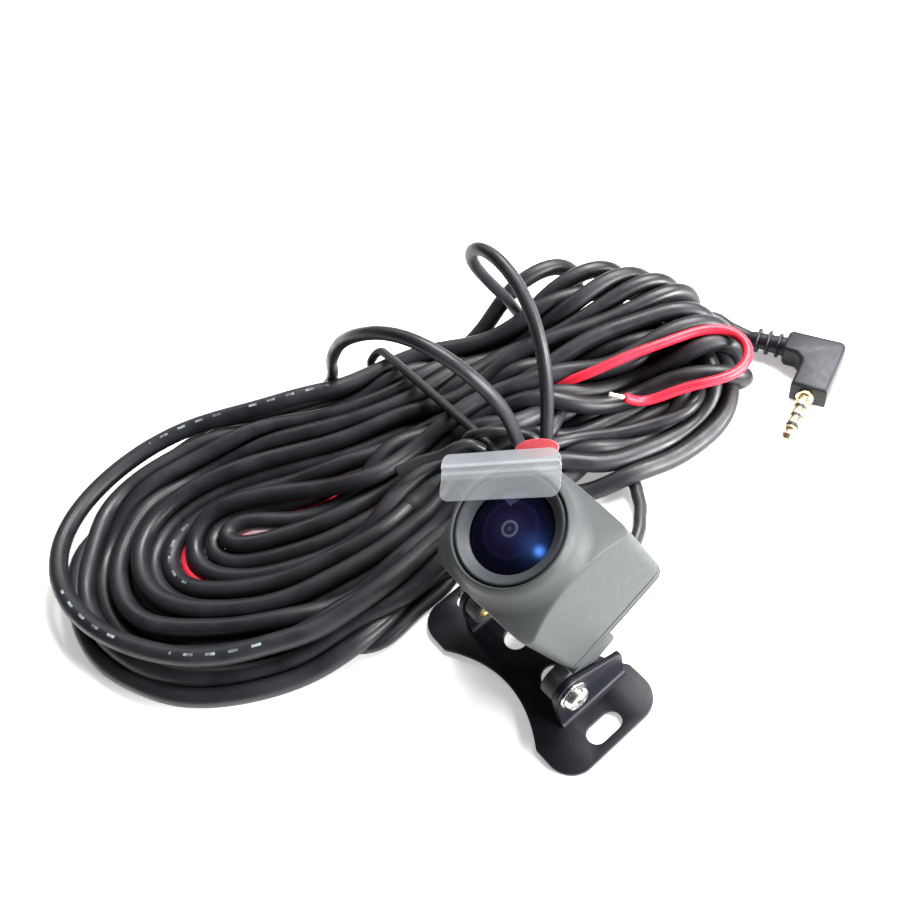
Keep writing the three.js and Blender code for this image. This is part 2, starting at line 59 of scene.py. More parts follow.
# The head's own frame: z = 0 is its back face and +z looks out of the lens
TILT_AT_REST = 18.9
HEAD = (
    Matrix.Translation((0, -1.8, 9.5))
    @ Matrix.Rotation(math.radians(TILT_AT_REST), 4, "X")
    @ Matrix.Translation((0, 13.4, 1.05))
)
PIVOT = HEAD @ Matrix.Translation((0, -13.4, -1.05))
PLUG = Matrix.Translation((-7.1, 84.8, 2.6)) @ Matrix.Rotation(math.radians(21.2), 4, "Z")

# ---- Camera and light ----


def look_from(position, target, roll, focal):
    data = bpy.data.cameras.new("camera")
    data.sensor_width = 36
    data.lens = focal
    data.clip_start = 0.005
    data.clip_end = 20
    camera = bpy.data.objects.new("camera", data)
    bpy.context.scene.collection.objects.link(camera)
    way = (Vector(target) - Vector(position)).normalized()
    turn = way.to_track_quat("-Z", "Y").to_matrix().to_4x4() @ Matrix.Rotation(roll, 4, "Z")
    camera.matrix_world = Matrix.Translation(Vector(position)) @ turn
    bpy.context.scene.camera = camera


def soft_light(name, position, target, size, power):
    data = bpy.data.lights.new(name, "AREA")
    data.shape = "RECTANGLE"
    data.size, data.size_y = size
    data.energy = power
    lamp = bpy.data.objects.new(name, data)
    bpy.context.scene.collection.objects.link(lamp)
    lamp.location = position
    lamp.rotation_euler = (Vector(target) - Vector(position)).to_track_quat("-Z", "Y").to_euler()


CAMERA_AZIMUTH, CAMERA_ELEVATION = math.radians(335.2), math.radians(51.1)
CAMERA_TARGET = Vector((-46.2, 17.95, 1.0)) * MM
CAMERA_BACK = Vector((
    math.cos(CAMERA_ELEVATION) * math.cos(CAMERA_AZIMUTH),
    math.cos(CAMERA_ELEVATION) * math.sin(CAMERA_AZIMUTH),
    math.sin(CAMERA_ELEVATION),
))
CAMERA_DISTANCE = 0.1889
look_from(CAMERA_TARGET + CAMERA_BACK * CAMERA_DISTANCE, CAMERA_TARGET, math.radians(-17.7), 36.44)

scene = bpy.context.scene
scene.view_settings.view_transform = "Standard"
scene.world = bpy.data.worlds.new("studio")
scene.world.use_nodes = True
scene.world.node_tree.nodes["Background"].inputs["Color"].default_value = (1, 1, 1, 1)
scene.world.node_tree.nodes["Background"].inputs["Strength"].default_value = 0.09
soft_light("overhead", (-0.05, 0.38, 0.52), (-0.04, 0.01, 0), (0.46, 0.22), 11.0)
soft_light("left", (-0.50, 0.15, 0.40), (-0.08, 0.0, 0), (0.30, 0.30), 0.9)
soft_light("right", (0.44, 0.27, 0.13), (0.0, 0.0, 0.02), (0.30, 0.20), 12.5)

# ---- Materials ----


def socket(node, name, value):
    node.inputs[name].default_value = value


LOOKS = {}  # every material by its name


def bare_material(name, color, roughness, metallic=0.0):
    """A material and its shader, before any pattern is added."""
    made = bpy.data.materials.new(name)
    LOOKS[name] = made
    made.use_nodes = True
    shader = made.node_tree.nodes["Principled BSDF"]
    socket(shader, "Base Color", (*color, 1))
    socket(shader, "Roughness", roughness)
    socket(shader, "Metallic", metallic)
    return made, shader


def noise(made, scale, detail=3.0, stretch=(1, 1, 1)):
    """A noise texture in object space, in lumps per metre."""
    tree = made.node_tree
    place = tree.nodes.new("ShaderNodeTexCoord")
    mapping = tree.nodes.new("ShaderNodeMapping")
    socket(mapping, "Scale", stretch)
    texture = tree.nodes.new("ShaderNodeTexNoise")
    socket(texture, "Scale", scale)
    socket(texture, "Detail", detail)
    tree.links.new(place.outputs["Object"], mapping.inputs["Vector"])
    tree.links.new(mapping.outputs["Vector"], texture.inputs["Vector"])
    return texture.outputs["Fac"]


def attribute(made, name):
    node = made.node_tree.nodes.new("ShaderNodeAttribute")
    node.attribute_name = name
    return node.outputs["Fac"]


def ramp(made, source, low, high, start=0.35, end=0.65):
    """source turned into values from low to high, numbers or colours."""
    tree = made.node_tree
    node = tree.nodes.new("ShaderNodeValToRGB")
    for element, place, value in zip(node.color_ramp.elements, (start, end), (low, high)):
        element.position = place
        element.color = (*value, 1) if isinstance(value, tuple) else (value, value, value, 1)
    tree.links.new(source, node.inputs["Fac"])
    return node.outputs["Color"]


def feed(made, shader, name, source):
    """Lets a pattern drive one of the shader's inputs."""
    made.node_tree.links.new(source, shader.inputs[name])


def bump(made, shader, source, strength, distance):
    node = made.node_tree.nodes.new("ShaderNodeBump")
    socket(node, "Strength", strength)
    socket(node, "Distance", distance)
    feed(made, node, "Height", source)
    feed(made, shader, "Normal", node.outputs["Normal"])


def shaded(color, share):
    return tuple(c * share for c in color)


def moulded(name, color, roughness, grain=0.25, sheen=0.5, shade=0.75):
    """Moulded plastic, paint or rubber: cloudy colour, uneven gloss and a fine grain."""
    made, shader = bare_material(name, color, roughness)
    feed(made, shader, "Base Color", ramp(made, noise(made, 260, 4), shaded(color, shade), color))
    gloss = ramp(made, noise(made, 900, 5), roughness * 0.93, min(roughness * 1.08, 1))
    feed(made, shader, "Roughness", gloss)
    bump(made, shader, noise(made, 6000, 2), grain, 0.00003)
    socket(shader, "Specular IOR Level", sheen)


def metal(name, color, roughness, stretch=(1, 1, 1)):
    """Turned or plated metal with fine tool marks."""
    made, shader = bare_material(name, color, roughness, 1.0)
    marks = noise(made, 3000, 3, stretch)
    feed(made, shader, "Base Color", ramp(made, noise(made, 700, 3), shaded(color, 0.8), color))
    feed(made, shader, "Roughness", ramp(made, marks, roughness * 0.7, roughness * 1.4))
    bump(made, shader, marks, 0.15, 0.00002)


def sheath(name, color, roughness, marks=False):
    """An extruded cord sheath, with lengthwise draw lines and, where given, worn printed dashes."""
    made, shader = bare_material(name, color, roughness)
    tree = made.node_tree
    along, around = attribute(made, "along"), attribute(made, "around")

    def maths(operation, a, b=None, c=None):
        node = tree.nodes.new("ShaderNodeMath")
        node.operation = operation
        for place, value in enumerate((a, b, c)):
            if value is None:
                continue
            if isinstance(value, (int, float)):
                node.inputs[place].default_value = value
            else:
                tree.links.new(value, node.inputs[place])
        return node.outputs[0]

    lines = maths("SINE", maths("MULTIPLY", around, 2 * math.pi * 22))
    draw = maths("MULTIPLY_ADD", lines, 0.25, noise(made, 2400, 3))
    bump(made, shader, draw, 0.35, 0.00003)
    clouds = noise(made, 180, 4)
    feed(made, shader, "Roughness", ramp(made, clouds, roughness * 0.85, roughness * 1.25))
    base = ramp(made, clouds, shaded(color, 0.7), color)
    if marks:
        dashes = maths("LESS_THAN", maths("FRACT", maths("DIVIDE", along, 0.0042)), 0.42)
        band = maths("LESS_THAN", maths("ABSOLUTE", attribute(made, "crown")), 0.26)
        worn = ramp(made, noise(made, 500, 3), 0.15, 0.95, 0.35, 0.6)
        shown = maths("MULTIPLY", maths("MULTIPLY", dashes, band), worn)
        shown = maths("MULTIPLY", shown, maths("GREATER_THAN", attribute(made, "printed"), 0.5))
        mix = tree.nodes.new("ShaderNodeMix")
        mix.data_type = "RGBA"
        feed(made, mix, 0, shown)
        feed(made, mix, 6, base)
        socket(mix, 7, (0.24, 0.29, 0.32, 1))
        base = mix.outputs[2]
    feed(made, shader, "Base Color", base)
    socket(shader, "Specular IOR Level", 0.36)


def clear_film():
    """Clear film tinted whitish as a painted sheen, more opaque towards its lifted edge."""
    # The whitish base colour is a painted sheen
    made, shader = bare_material("clear_film", (0.62, 0.66, 0.69), 0.12)
    socket(shader, "IOR", 1.5)
    socket(shader, "Coat Weight", 1.0)
    socket(shader, "Coat Roughness", 0.06)
    # More opaque towards the lifted edge, so the painted sheen shows stronger there
    feed(made, shader, "Alpha", ramp(made, attribute(made, "rise"), 0.14, 0.50, 0.45, 0.75))
    feed(made, shader, "Roughness", ramp(made, noise(made, 160, 2), 0.06, 0.2))
    bump(made, shader, noise(made, 120, 2), 0.3, 0.0002)


def coated_glass(name, color, coat_color):
    """Dark coated lens glass: a deep body colour under a hard, tinted gloss."""
    made, shader = bare_material(name, color, 0.03)
    feed(made, shader, "Base Color", ramp(made, noise(made, 150, 2), shaded(color, 0.6), color))
    socket(shader, "IOR", 1.6)
    socket(shader, "Coat Weight", 1.0)
    socket(shader, "Coat Roughness", 0.02)
    socket(shader, "Coat Tint", (*coat_color, 1))
    socket(shader, "Specular Tint", (*coat_color, 1))


def front_glass():
    """The outer element, opaque, with the barrel seen inside it and a blue highlight both painted into its
    colour.
    """
    made, shader = bare_material("front_glass", (0.002, 0.002, 0.008), 0.04)
    tree = made.node_tree
    # Painted into the colour: the barrel's dark rings, a lighter centre and ring as the inner lens's
    # painted reflection, and painted shade darkening towards the rim
    barrel_with_painted_light = tree.nodes.new("ShaderNodeValToRGB")
    stops = [
        (0.00, (0.040, 0.040, 0.070)), (0.07, (0.008, 0.008, 0.020)), (0.12, (0.012, 0.012, 0.030)),
        (0.16, (0.070, 0.070, 0.110)), (0.20, (0.008, 0.007, 0.024)), (0.50, (0.004, 0.003, 0.014)),
        (0.62, (0.006, 0.005, 0.020)), (0.66, (0.002, 0.002, 0.008)), (0.90, (0.0015, 0.0015, 0.005)),
        (1.00, (0.001, 0.001, 0.002)),
    ]
    for place, color in stops[2:]:
        barrel_with_painted_light.color_ramp.elements.new(place)
    for element, (place, color) in zip(barrel_with_painted_light.color_ramp.elements, stops):
        element.position = place
        element.color = (*color, 1)
    feed(made, barrel_with_painted_light, "Fac", attribute(made, "radius"))
    # A painted blue highlight where the coating catches the light, added onto the painted barrel
    glow = ramp(made, attribute(made, "glow"), (0, 0, 0), (0.10, 0.30, 1.0), 0.0, 1.0)
    both = tree.nodes.new("ShaderNodeMix")
    both.data_type = "RGBA"
    both.blend_type = "ADD"
    socket(both, 0, 1.0)
    feed(made, both, 6, barrel_with_painted_light.outputs["Color"])
    feed(made, both, 7, glow)
    feed(made, shader, "Base Color", both.outputs[2])
    feed(made, shader, "Roughness", ramp(made, noise(made, 500, 4), 0.02, 0.07, 0.5, 0.9))
    socket(shader, "Specular IOR Level", 0.3)
    socket(shader, "Specular Tint", (0.4, 0.5, 1.0, 1))


moulded("housing_plastic", (0.040, 0.044, 0.045), 0.5, 0.10, sheen=0.2, shade=0.95)
moulded("cover_plastic", (0.040, 0.044, 0.045), 0.5, 0.12, sheen=0.2, shade=0.95)
moulded("inner_plastic", (0.012, 0.013, 0.016), 0.5)
moulded("bezel_plastic", (0.040, 0.043, 0.048), 0.45, 0.10, sheen=0.18, shade=0.95)
moulded("bracket_paint", (0.004, 0.0045, 0.008), 0.42, 0.5, sheen=0.25)
moulded("seal_rubber", (0.014, 0.014, 0.015), 0.7, 0.5)
moulded("plug_moulding", (0.014, 0.015, 0.019), 0.46, 0.2, sheen=0.3, shade=0.9)
moulded("red_film", (0.72, 0.10, 0.12), 0.35)
moulded("circuit_board", (0.02, 0.16, 0.06), 0.45, 0.6, shade=0.4)
moulded("electronic_parts", (0.03, 0.032, 0.036), 0.35)
moulded("connector_nylon", (0.72, 0.68, 0.58), 0.45)
metal("plated_steel", (0.80, 0.79, 0.77), 0.22)
metal("brass", (0.72, 0.50, 0.20), 0.3)
metal("gold_plate", (1.0, 0.84, 0.50), 0.26, (1, 1, 6))
metal("tinned_copper", (0.80, 0.74, 0.66), 0.3, (6, 1, 1))
sheath("lead_sheath", (0.014, 0.0135, 0.017), 0.42, marks=True)
sheath("tie_sheath", (0.022, 0.023, 0.025), 0.42)
sheath("red_sheath", (0.72, 0.020, 0.045), 0.34)
clear_film()
front_glass()
coated_glass("lens_glass", (0.004, 0.007, 0.03), (0.45, 0.55, 1.0))
coated_glass("filter_glass", (0.03, 0.08, 0.09), (0.5, 1.0, 0.9))

# The sheaths' patterns follow numbers that only the cords made here carry
FOR_CARRIED = {"lead_sheath": "inner_plastic", "tie_sheath": "inner_plastic", "red_sheath": "red_film"}


def dress_carried_nodes():
    for part in frame["record"]["subparts"]:
        slot = part["material_slot"]
        materials = frame["nodes"][part["node"]].data.materials
        materials.clear()
        materials.append(LOOKS[FOR_CARRIED.get(slot, slot)])


dress_carried_nodes()

# ---- Mesh helpers: each returns points in millimetres and faces ----


def joined(*shapes):
    points, faces = [], []
    for some_points, some_faces in shapes:
        first = len(points)
        points += [tuple(p) for p in some_points]
        faces += [tuple(first + i for i in face) for face in some_faces]
    return points, faces


def moved(shape, matrix):
    points, faces = shape
    return [tuple(matrix @ Vector(p)) for p in points], faces


def ring(r, z, sides):
    angles = (2 * math.pi * i / sides for i in range(sides))
    return [(r * math.cos(a), r * math.sin(a), z) for a in angles]


def between(a, b, sides):
    """The faces between two rings, by the numbers of their first points."""
    return [(a + i, a + (i + 1) % sides, b + (i + 1) % sides, b + i) for i in range(sides)]


def turned(profile, sides=96):
    """A profile of (radius, z) turned about z; it may start and end on the axis."""
    closed = profile[0] == profile[-1]
    rows = profile[:-1] if closed else profile
    points, rings = [], []
    for r, z in rows:
        if r < 1e-6:
            rings.append([len(points)] * sides)
            points.append((0, 0, z))
            continue
        rings.append(range(len(points), len(points) + sides))
        points += ring(r, z, sides)
    faces = []
    pairs = list(zip(rings, rings[1:])) + ([(rings[-1], rings[0])] if closed else [])
    for a, b in pairs:
        for i in range(sides):
            j = (i + 1) % sides
            face = [a[i], a[j], b[j], b[i]]
            distinct = [v for k, v in enumerate(face) if v != face[k - 1]]
            if len(distinct) > 2:
                faces.append(distinct)
    return points, faces


def softened(profile, radius=0.12, steps=3):
    """The same open or closed profile with its corners rounded."""
    closed = profile[0] == profile[-1]
    corners = profile[:-1] if closed else profile
    out = []
    for i, corner in enumerate(corners):
        if not closed and i in (0, len(corners) - 1):
            out.append(corner)
            continue
        before, here, after = (Vector(p) for p in (corners[i - 1], corner, corners[(i + 1) % len(corners)]))
        reach = min(radius, (before - here).length * 0.45, (after - here).length * 0.45)
        a = here + (before - here).normalized() * reach
        b = here + (after - here).normalized() * reach
        for k in range(steps + 1):
            t = k / steps
            p = a * (1 - t) ** 2 + here * 2 * t * (1 - t) + b * t * t
            out.append((p.x, p.y))
    return out + [out[0]] if closed else out


def plate(outline, holes, low, high, bevel=0.12):
    """A flat outline with holes, stretched from low to high, with rounded edges."""
    data = bpy.data.curves.new("outline", "CURVE")
    data.dimensions = "2D"
    data.fill_mode = "BOTH"
    data.extrude = (high - low) / 2 - bevel
    data.bevel_depth = bevel
    data.bevel_resolution = 2
    data.offset = -bevel
    for corners in (outline, *holes):
        edge = data.splines.new("POLY")
        edge.points.add(len(corners) - 1)
        for point, (x, y) in zip(edge.points, corners):
            point.co = (x, y, 0, 1)
        edge.use_cyclic_u = True
    carrier = bpy.data.objects.new("outline", data)
    bpy.context.scene.collection.objects.link(carrier)
    mesh = bpy.data.meshes.new_from_object(carrier.evaluated_get(bpy.context.evaluated_depsgraph_get()))
    points = [(v.co.x, v.co.y, v.co.z + (low + high) / 2) for v in mesh.vertices]
    faces = [tuple(p.vertices) for p in mesh.polygons]
    bpy.data.objects.remove(carrier)
    bpy.data.curves.remove(data)
    bpy.data.meshes.remove(mesh)
    return points, faces


def arc(x, y, r, start, end, steps=10):
    return [
        (x + r * math.cos(math.radians(start + (end - start) * i / steps)),
         y + r * math.sin(math.radians(start + (end - start) * i / steps)))
        for i in range(steps + 1)
    ]


def circle(x, y, r, sides=48):
    return arc(x, y, r, 0, 360 * (sides - 1) / sides, sides - 1)


CROWN = np.array([0.30, 0.05, 0.95])  # the way that the print faces


def distance_along(line):
    return np.concatenate([[0], np.cumsum(np.linalg.norm(np.diff(line, axis=0), axis=1))])


def tube(line, radius, sides=12, printed=None):
    """A round-ended cord's mesh round a line of points, with numbers for its materials' patterns."""
    line = np.asarray(line, float)
    ahead = np.gradient(line, axis=0)
    ahead /= np.linalg.norm(ahead, axis=1)[:, None]
    side = np.cross(ahead[0], (0.31, 0.22, 0.92))
    side /= np.linalg.norm(side)
    radius = np.broadcast_to(radius, len(line))
    along = distance_along(line)
    printed = np.zeros(len(line)) if printed is None else printed
    stations = list(zip(line, ahead, radius, along, printed))
    caps = [(0.28, 0.82), (0.45, 0.42)]
    first, last = stations[0], stations[-1]
    start = [(first[0] - first[1] * first[2] * a, first[1], first[2] * b, 0, 0) for a, b in reversed(caps)]
    end = [(last[0] + last[1] * last[2] * a, last[1], last[2] * b, last[3], 0) for a, b in caps]
    stations = start + stations + end
    points = []
    numbers = {"along": [], "around": [], "crown": [], "printed": []}
    angles = np.arange(sides) * 2 * math.pi / sides
    for centre, forward, r, s, shown in stations:
        side = side - forward * (side @ forward)
        side /= np.linalg.norm(side)
        up = np.cross(forward, side)
        out = np.outer(np.cos(angles), side) + np.outer(np.sin(angles), up)
        points += [tuple(p) for p in centre + r * out]
        top = CROWN - forward * (CROWN @ forward)
        top /= np.linalg.norm(top)
        off_top = np.arctan2(out @ np.cross(forward, top), out @ top)
        numbers["along"] += [s * MM] * sides
        numbers["around"] += list(angles / (2 * math.pi))
        numbers["crown"] += list(off_top * r)
        numbers["printed"] += [shown] * sides
    faces = []
    for k in range(len(stations) - 1):
        faces += between(k * sides, (k + 1) * sides, sides)
    faces.append(tuple(reversed(range(sides))))
    faces.append(tuple(range(len(points) - sides, len(points))))
    return points, faces, numbers


def piece(name, shape, look, body=None, place=None, sharp=40, replaces=()):
    """Makes the object, in metres and in the row frame, and lets it ride on its body."""
    points, faces = shape[:2]
    mesh = bpy.data.meshes.new(name)
    mesh.from_pydata(points, [], faces)
    mesh.transform(Matrix.Scale(MM, 4) @ (place or Matrix.Identity(4)))
    mesh.validate()
    mesh.materials.append(LOOKS[look])
    for label, values in (shape[2] if len(shape) > 2 else {}).items():
        mesh.attributes.new(label, "FLOAT", "POINT").data.foreach_set("value", values)
    made = bpy.data.objects.new(name, mesh)
    bpy.context.scene.collection.objects.link(made)
    outward(mesh)
    mesh.shade_smooth()
    mesh.set_sharp_from_angle(angle=math.radians(sharp))
    if body:
        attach(made, body)
    if replaces:
        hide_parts(*replaces)
    return made


def outward(mesh):
    """Welds doubled points and turns every face outwards."""
    work = bmesh.new()
    work.from_mesh(mesh)
    bmesh.ops.remove_doubles(work, verts=work.verts, dist=1e-7)
    bmesh.ops.recalc_face_normals(work, faces=work.faces)
    work.to_mesh(mesh)
    work.free()


# ---- The lead: its route through the hank ----

LEAD = 3.7  # in the hank
THIN_LEAD = 2.5  # from the camera through the two standing loops
PLUG_END = 2.8
WIRE = 2.0
TIE_Y = 18.7

CAMERA_LEAD = [
    [0, 15.93, 10.0], [0, 16.7, 7.8], [-0.3, 18.4, 5.2], [-1.0, 21.4, 2.9], [-2.4, 25.8, 1.6],
    [-4.8, 30.4, 1.35], [-8.0, 34.2, 1.35], [-12.6, 37.4, 1.35],
]
UNDER_HANK = [[-22, 41.0, 1.3], [-38, 45.5, 1.3], [-54, 51, 1.3], [-62.5, 54.0, 3.4], [-62.6, 52.0, 8.0]]
FAR_LOOP = [
    [-60.5, 48.4, 13.5], [-58.6, 43.4, 23], [-55.0, 38.6, 33], [-50.0, 37.0, 40.3], [-43.6, 36.8, 41.6],
    [-36.6, 36.0, 37.9], [-30.4, 33.6, 31.8], [-26.4, 30.6, 24.6], [-25.3, 28.4, 17.5], [-25.6, 27.6, 13.2],
]
FAR_LOOP_FOOT = [[-25.6, 25.4, 9.0], [-25.8, 22, 6.0]]
NEAR_LOOP_RISE = [[-82.5, 2.0, 1.3], [-81.6, 8.0, 3.2]]
NEAR_LOOP = [
    [-78.4, 11.0, 7.6], [-75.3, 10.6, 11.6], [-71.2, 9.8, 16.4], [-63.3, 8.7, 26.2], [-53.5, 9.2, 36.6],
    [-46.0, 11.6, 40.8], [-37.0, 14.6, 42.6], [-29.8, 17.4, 39.2], [-26.4, 20.0, 31], [-26.2, 22.4, 22],
    [-27.5, 23.4, 13.2],
]
AFTER_NEAR_LOOP = [
    [-27, 29, 9.5], [-23.5, 38, 6.5], [-19, 49, 5], [-17.5, 58, 5], [-19, 65, 5.5],
    [-24, 68.5, 6], [-29.5, 65, 6], [-33, 56, 5], [-35.5, 46, 4.5], [-36.5, 33, 4.5],
]
TO_PLUG = [[-64, 32, 9.5], [-56, 50, 10.5], [-48, 64, 11], [-39.5, 73, 10.4]]
PLUG_LEAD = [[-29.6, 75.6, 7.4], [-27.0, 76.9, 5.6], [-24.0, 78.1, 3.7], [-20.9, 79.45, 2.7]]

# The left lobe's widest, middle and innermost turns, from the tie's near side round to its far side
WIDEST = [
    [-26, 18.7], [-23.3, 8], [-22.3, -4], [-22, -16], [-25, -30], [-31.5, -42], [-39, -52], [-48, -59],
    [-58, -61.5], [-70, -60.3], [-81, -55.5], [-89.5, -47], [-94.5, -35], [-94.5, -20.5],
    [-87.5, -7.5], [-79.5, 4.5], [-71, 18.7],
]
MIDDLE = [
    [-43, 18.7], [-41.8, 10], [-41.8, 2], [-42.4, -8], [-44.8, -17], [-48.5, -23.5], [-53, -29],
    [-57.5, -33], [-61.5, -35], [-65, -34.5], [-66.8, -31.5], [-65.8, -27.5], [-63, -22],
    [-59, -14.5], [-54.5, -6], [-50, 3.5], [-46.5, 18.7],
]
INNERMOST = [
    [-45, 18.7], [-45.6, 10], [-46, 2], [-46.8, -7], [-49, -14.5], [-51.5, -19.5], [-54.5, -24],
    [-57.5, -27.5], [-60, -29.2], [-61.6, -29], [-62, -27.2], [-61, -24], [-59, -19.5],
    [-56, -12.5], [-52.8, -4.5], [-50, 4], [-46.8, 18.7],
]
# The last turn, over all the others
TOPMOST = [
    [-27.1, 4.2, 8], [-26.3, -8.4, 8.2], [-28.1, -23.2, 8], [-32.3, -35.9, 8], [-38.6, -45.2, 8],
    [-46.8, -51.6, 8], [-57.8, -57.1, 8], [-68.8, -58.8, 8], [-79.2, -56.6, 7.5], [-85.9, -51.5, 7],
    [-90.9, -41.5, 6.5], [-92.4, -29.5, 6], [-90.2, -19.4, 6], [-85.0, -10.2, 6.5],
    [-79.0, 0, 7], [-74.8, 9.1, 7.5],
]
# The right lobe's flat turns, from the far side round to the near side
FLAT_TURN = [
    [-44, 42, 8], [-36, 56, 9], [-28, 67, 8.5], [-22.5, 70.5, 7], [-18.8, 68, 5.5],
    [-16.6, 62.5, 4], [-14.9, 56, 3], [-14.4, 49, 2.5], [-16, 40, 2], [-20.5, 31, 2],
]

# Each turn: where it lies in the left lobe (0 widest, 1 middle, 2 innermost), its height there, how far
# its left end is tucked in, and its right end: the last turn leaves for the plug, and the others lie
# flat so many millimetres inside the outline or stand on edge with their tip at (x, y, z)
TURNS = [
    (0.12, 1.85, 0.14, "flat", (0.0, 1.85)),
    (0.36, 1.75, 0.0, "flat", (3.6, 1.75)),
    (0.66, 1.75, 0.0, "flat", (1.2, 5.0)),
    (0.19, 5.0, 0.10, "edge", (-61.3, 65.0, 11.2)),
    (0.29, 5.0, 0.07, "edge", (-52.6, 70.4, 11.4)),
    (0.39, 5.0, 0.04, "edge", (-45.4, 73.0, 11.6)),
    (0.50, 5.0, 0.0, "edge", (-40.0, 73.8, 11.6)),
    (0.62, 5.0, 0.0, "edge", (-34.8, 73.9, 11.5)),
    (0.76, 5.0, 0.0, "edge", (-29.6, 73.4, 11.3)),
    (1.00, 5.0, 0.0, "edge", (-24.7, 72.6, 10.8)),
    (1.45, 2.6, 0.0, "edge", (-20.0, 71.6, 8.6)),
    (1.84, 4.4, 0.0, "edge", (-16.6, 67.4, 7.4)),
    (0.00, 8.4, 0.0, "plug", None),
]


def weighed(a, b, start, end, s):
    return (end - s) / (end - start) * a + (s - start) / (end - start) * b


def spline(points, step):
    """A centripetal Catmull-Rom curve through the points, cut into even steps."""
    p = np.asarray(points, float)
    p = np.vstack([2 * p[0] - p[1], p, 2 * p[-1] - p[-2]])
    out = []
    for i in range(1, len(p) - 2):
        p0, p1, p2, p3 = p[i - 1:i + 3]
        spans = [max(np.linalg.norm(b - a), 1e-6) ** 0.5 for a, b in ((p0, p1), (p1, p2), (p2, p3))]
        t0, t1, t2, t3 = np.cumsum([0, *spans])
        s = np.linspace(t1, t2, 24, endpoint=False)[:, None]
        a1 = weighed(p0, p1, t0, t1, s)
        a2 = weighed(p1, p2, t1, t2, s)
        a3 = weighed(p2, p3, t2, t3, s)
        b1 = weighed(a1, a2, t0, t2, s)
        b2 = weighed(a2, a3, t1, t3, s)
        out.append(weighed(b1, b2, t1, t2, s))
    line = np.vstack(out + [p[-2:-1]])
    along = distance_along(line)
    at = np.linspace(0, along[-1], max(int(round(along[-1] / step)), 2) + 1)
    return np.stack([np.interp(at, along, line[:, k]) for k in range(3)], axis=1)


def at_tie(lie, height, side):
    ends = (-26, -43, -45) if side == "near" else (-71, -46.5, -46.8)
    return np.array([np.interp(lie, (0, 1, 2), ends), TIE_Y, min(height, 7.0)])


def left_half(lie, height, tuck, chance):
    """From the tie's near side round the left lobe and back to its far side."""
    share = np.linspace(0, 1, len(WIDEST))
    lies = lie + tuck * np.exp(-(((share - 0.74) / 0.08) ** 2))
    rings = np.array([WIDEST, MIDDLE, INNERMOST], float)
    flat = np.array([
        [np.interp(where, (0, 1, 2), rings[:, k, axis]) for axis in (0, 1)]
        for k, where in enumerate(lies)
    ])
    sway = chance.uniform(-1, 1, 3) * (0.7, 0.6, 0.5)
    across = sum(s * np.sin((k + 1) * share * math.pi) for k, s in enumerate(sway))
    out = flat - rings[:2].mean(axis=(0, 1))
    out /= np.linalg.norm(out, axis=1)[:, None]
    flat = flat + out * (across * np.sin(share * math.pi))[:, None]
    waves = 0.8 * np.sin(share * math.pi * 3 + chance.uniform(0, 6.28)) * chance.uniform(0.2, 1)
    points = np.column_stack([flat, height + waves])
    points[0] = at_tie(lie, height, "near")
    points[-1] = at_tie(lie, height, "far")
    return points


def end_on_edge(tip, start, end):
    """A turn's right end that rises over the hank, turns down at its tip and comes back underneath."""
    tip = np.array(tip)
    way = tip - start
    heading = np.array([way[0], way[1], 0]) / np.hypot(way[0], way[1])
    side = np.array([heading[1], -heading[0], 0])
    up = np.array([0, 0, 1])
    out = [start + way * t + up * rise for t, rise in ((0.3, 0.3), (0.6, 0.9), (0.86, 0.9))]
    turn = [
        tip,
        tip + side * 1.4 - up * 1.8 + heading * 2.2,
        (tip + side * 2.8 + heading * 1.6) * (1, 1, 0.5) + up * 1.0,
        (tip + side * 3.4 - heading * 3.0) * (1, 1, 0) + up * 2.4,
        (tip + side * 3.2 - heading * 10) * (1, 1, 0) + up * 1.8,
    ]
    back = [(turn[-1] * (1 - t) + end * t) * (1, 1, 0) + up * 1.7 for t in (0.35, 0.7)]
    return out + turn + back


def end_laid_flat(inside, lowest):
    flat = np.array(FLAT_TURN, float)
    inward = np.array([-32, 50]) - flat[:, :2]
    inward /= np.linalg.norm(inward, axis=1)[:, None]
    return np.column_stack([flat[:, :2] + inward * inside, np.maximum(flat[:, 2], lowest)])


def lead_route():
    """The whole route, and the diameter at each of its points."""
    chance = np.random.default_rng(3)
    thin = [CAMERA_LEAD, UNDER_HANK, FAR_LOOP, FAR_LOOP_FOOT]
    thin += [left_half(0.12, 1.3, 0.1, chance)[:-2], NEAR_LOOP_RISE, NEAR_LOOP, AFTER_NEAR_LOOP]
    thick = []
    for turn, following in zip(TURNS, TURNS[1:] + [None]):
        lie, height, tuck, kind, how = turn
        if kind == "plug":
            ends = [[at_tie(lie, height, side)] for side in ("near", "far")]
            thick += [ends[0], TOPMOST, ends[1], TO_PLUG, PLUG_LEAD]
            break
        thick.append(left_half(lie, height, tuck, chance))
        if kind == "edge":
            start, end = at_tie(lie, height, "far"), at_tie(*following[:2], "near")
            thick.append(end_on_edge(how, start, end))
        else:
            thick.append(end_laid_flat(*how))
    thin, thick = np.vstack(thin), np.vstack(thick)
    counts = [len(thin), len(thick) - len(PLUG_LEAD), len(PLUG_LEAD)]
    sizes = np.repeat([THIN_LEAD, LEAD, PLUG_END], counts)
    return np.vstack([thin, thick]), sizes


WIRE_SPLIT = [[-40.5, 12, 3.0], [-40.0, 6, 3.2], [-39.6, 0, 3.4]]
WIRE_SEEN = [
    [-42.3, 32.3, 4.5], [-36.4, 41.2, 8.6], [-30.6, 52.1, 12.0], [-25.5, 63.7, 12.4], [-21.9, 69.7, 12.2],
    [-17.5, 71.9, 11.6], [-14.1, 70.5, 10.8], [-12.4, 67.1, 10.2], [-13.0, 63.2, 10.2], [-16.0, 58.8, 10.4],
    [-20.2, 52.4, 10.4], [-24.4, 46.4, 10.4],
]


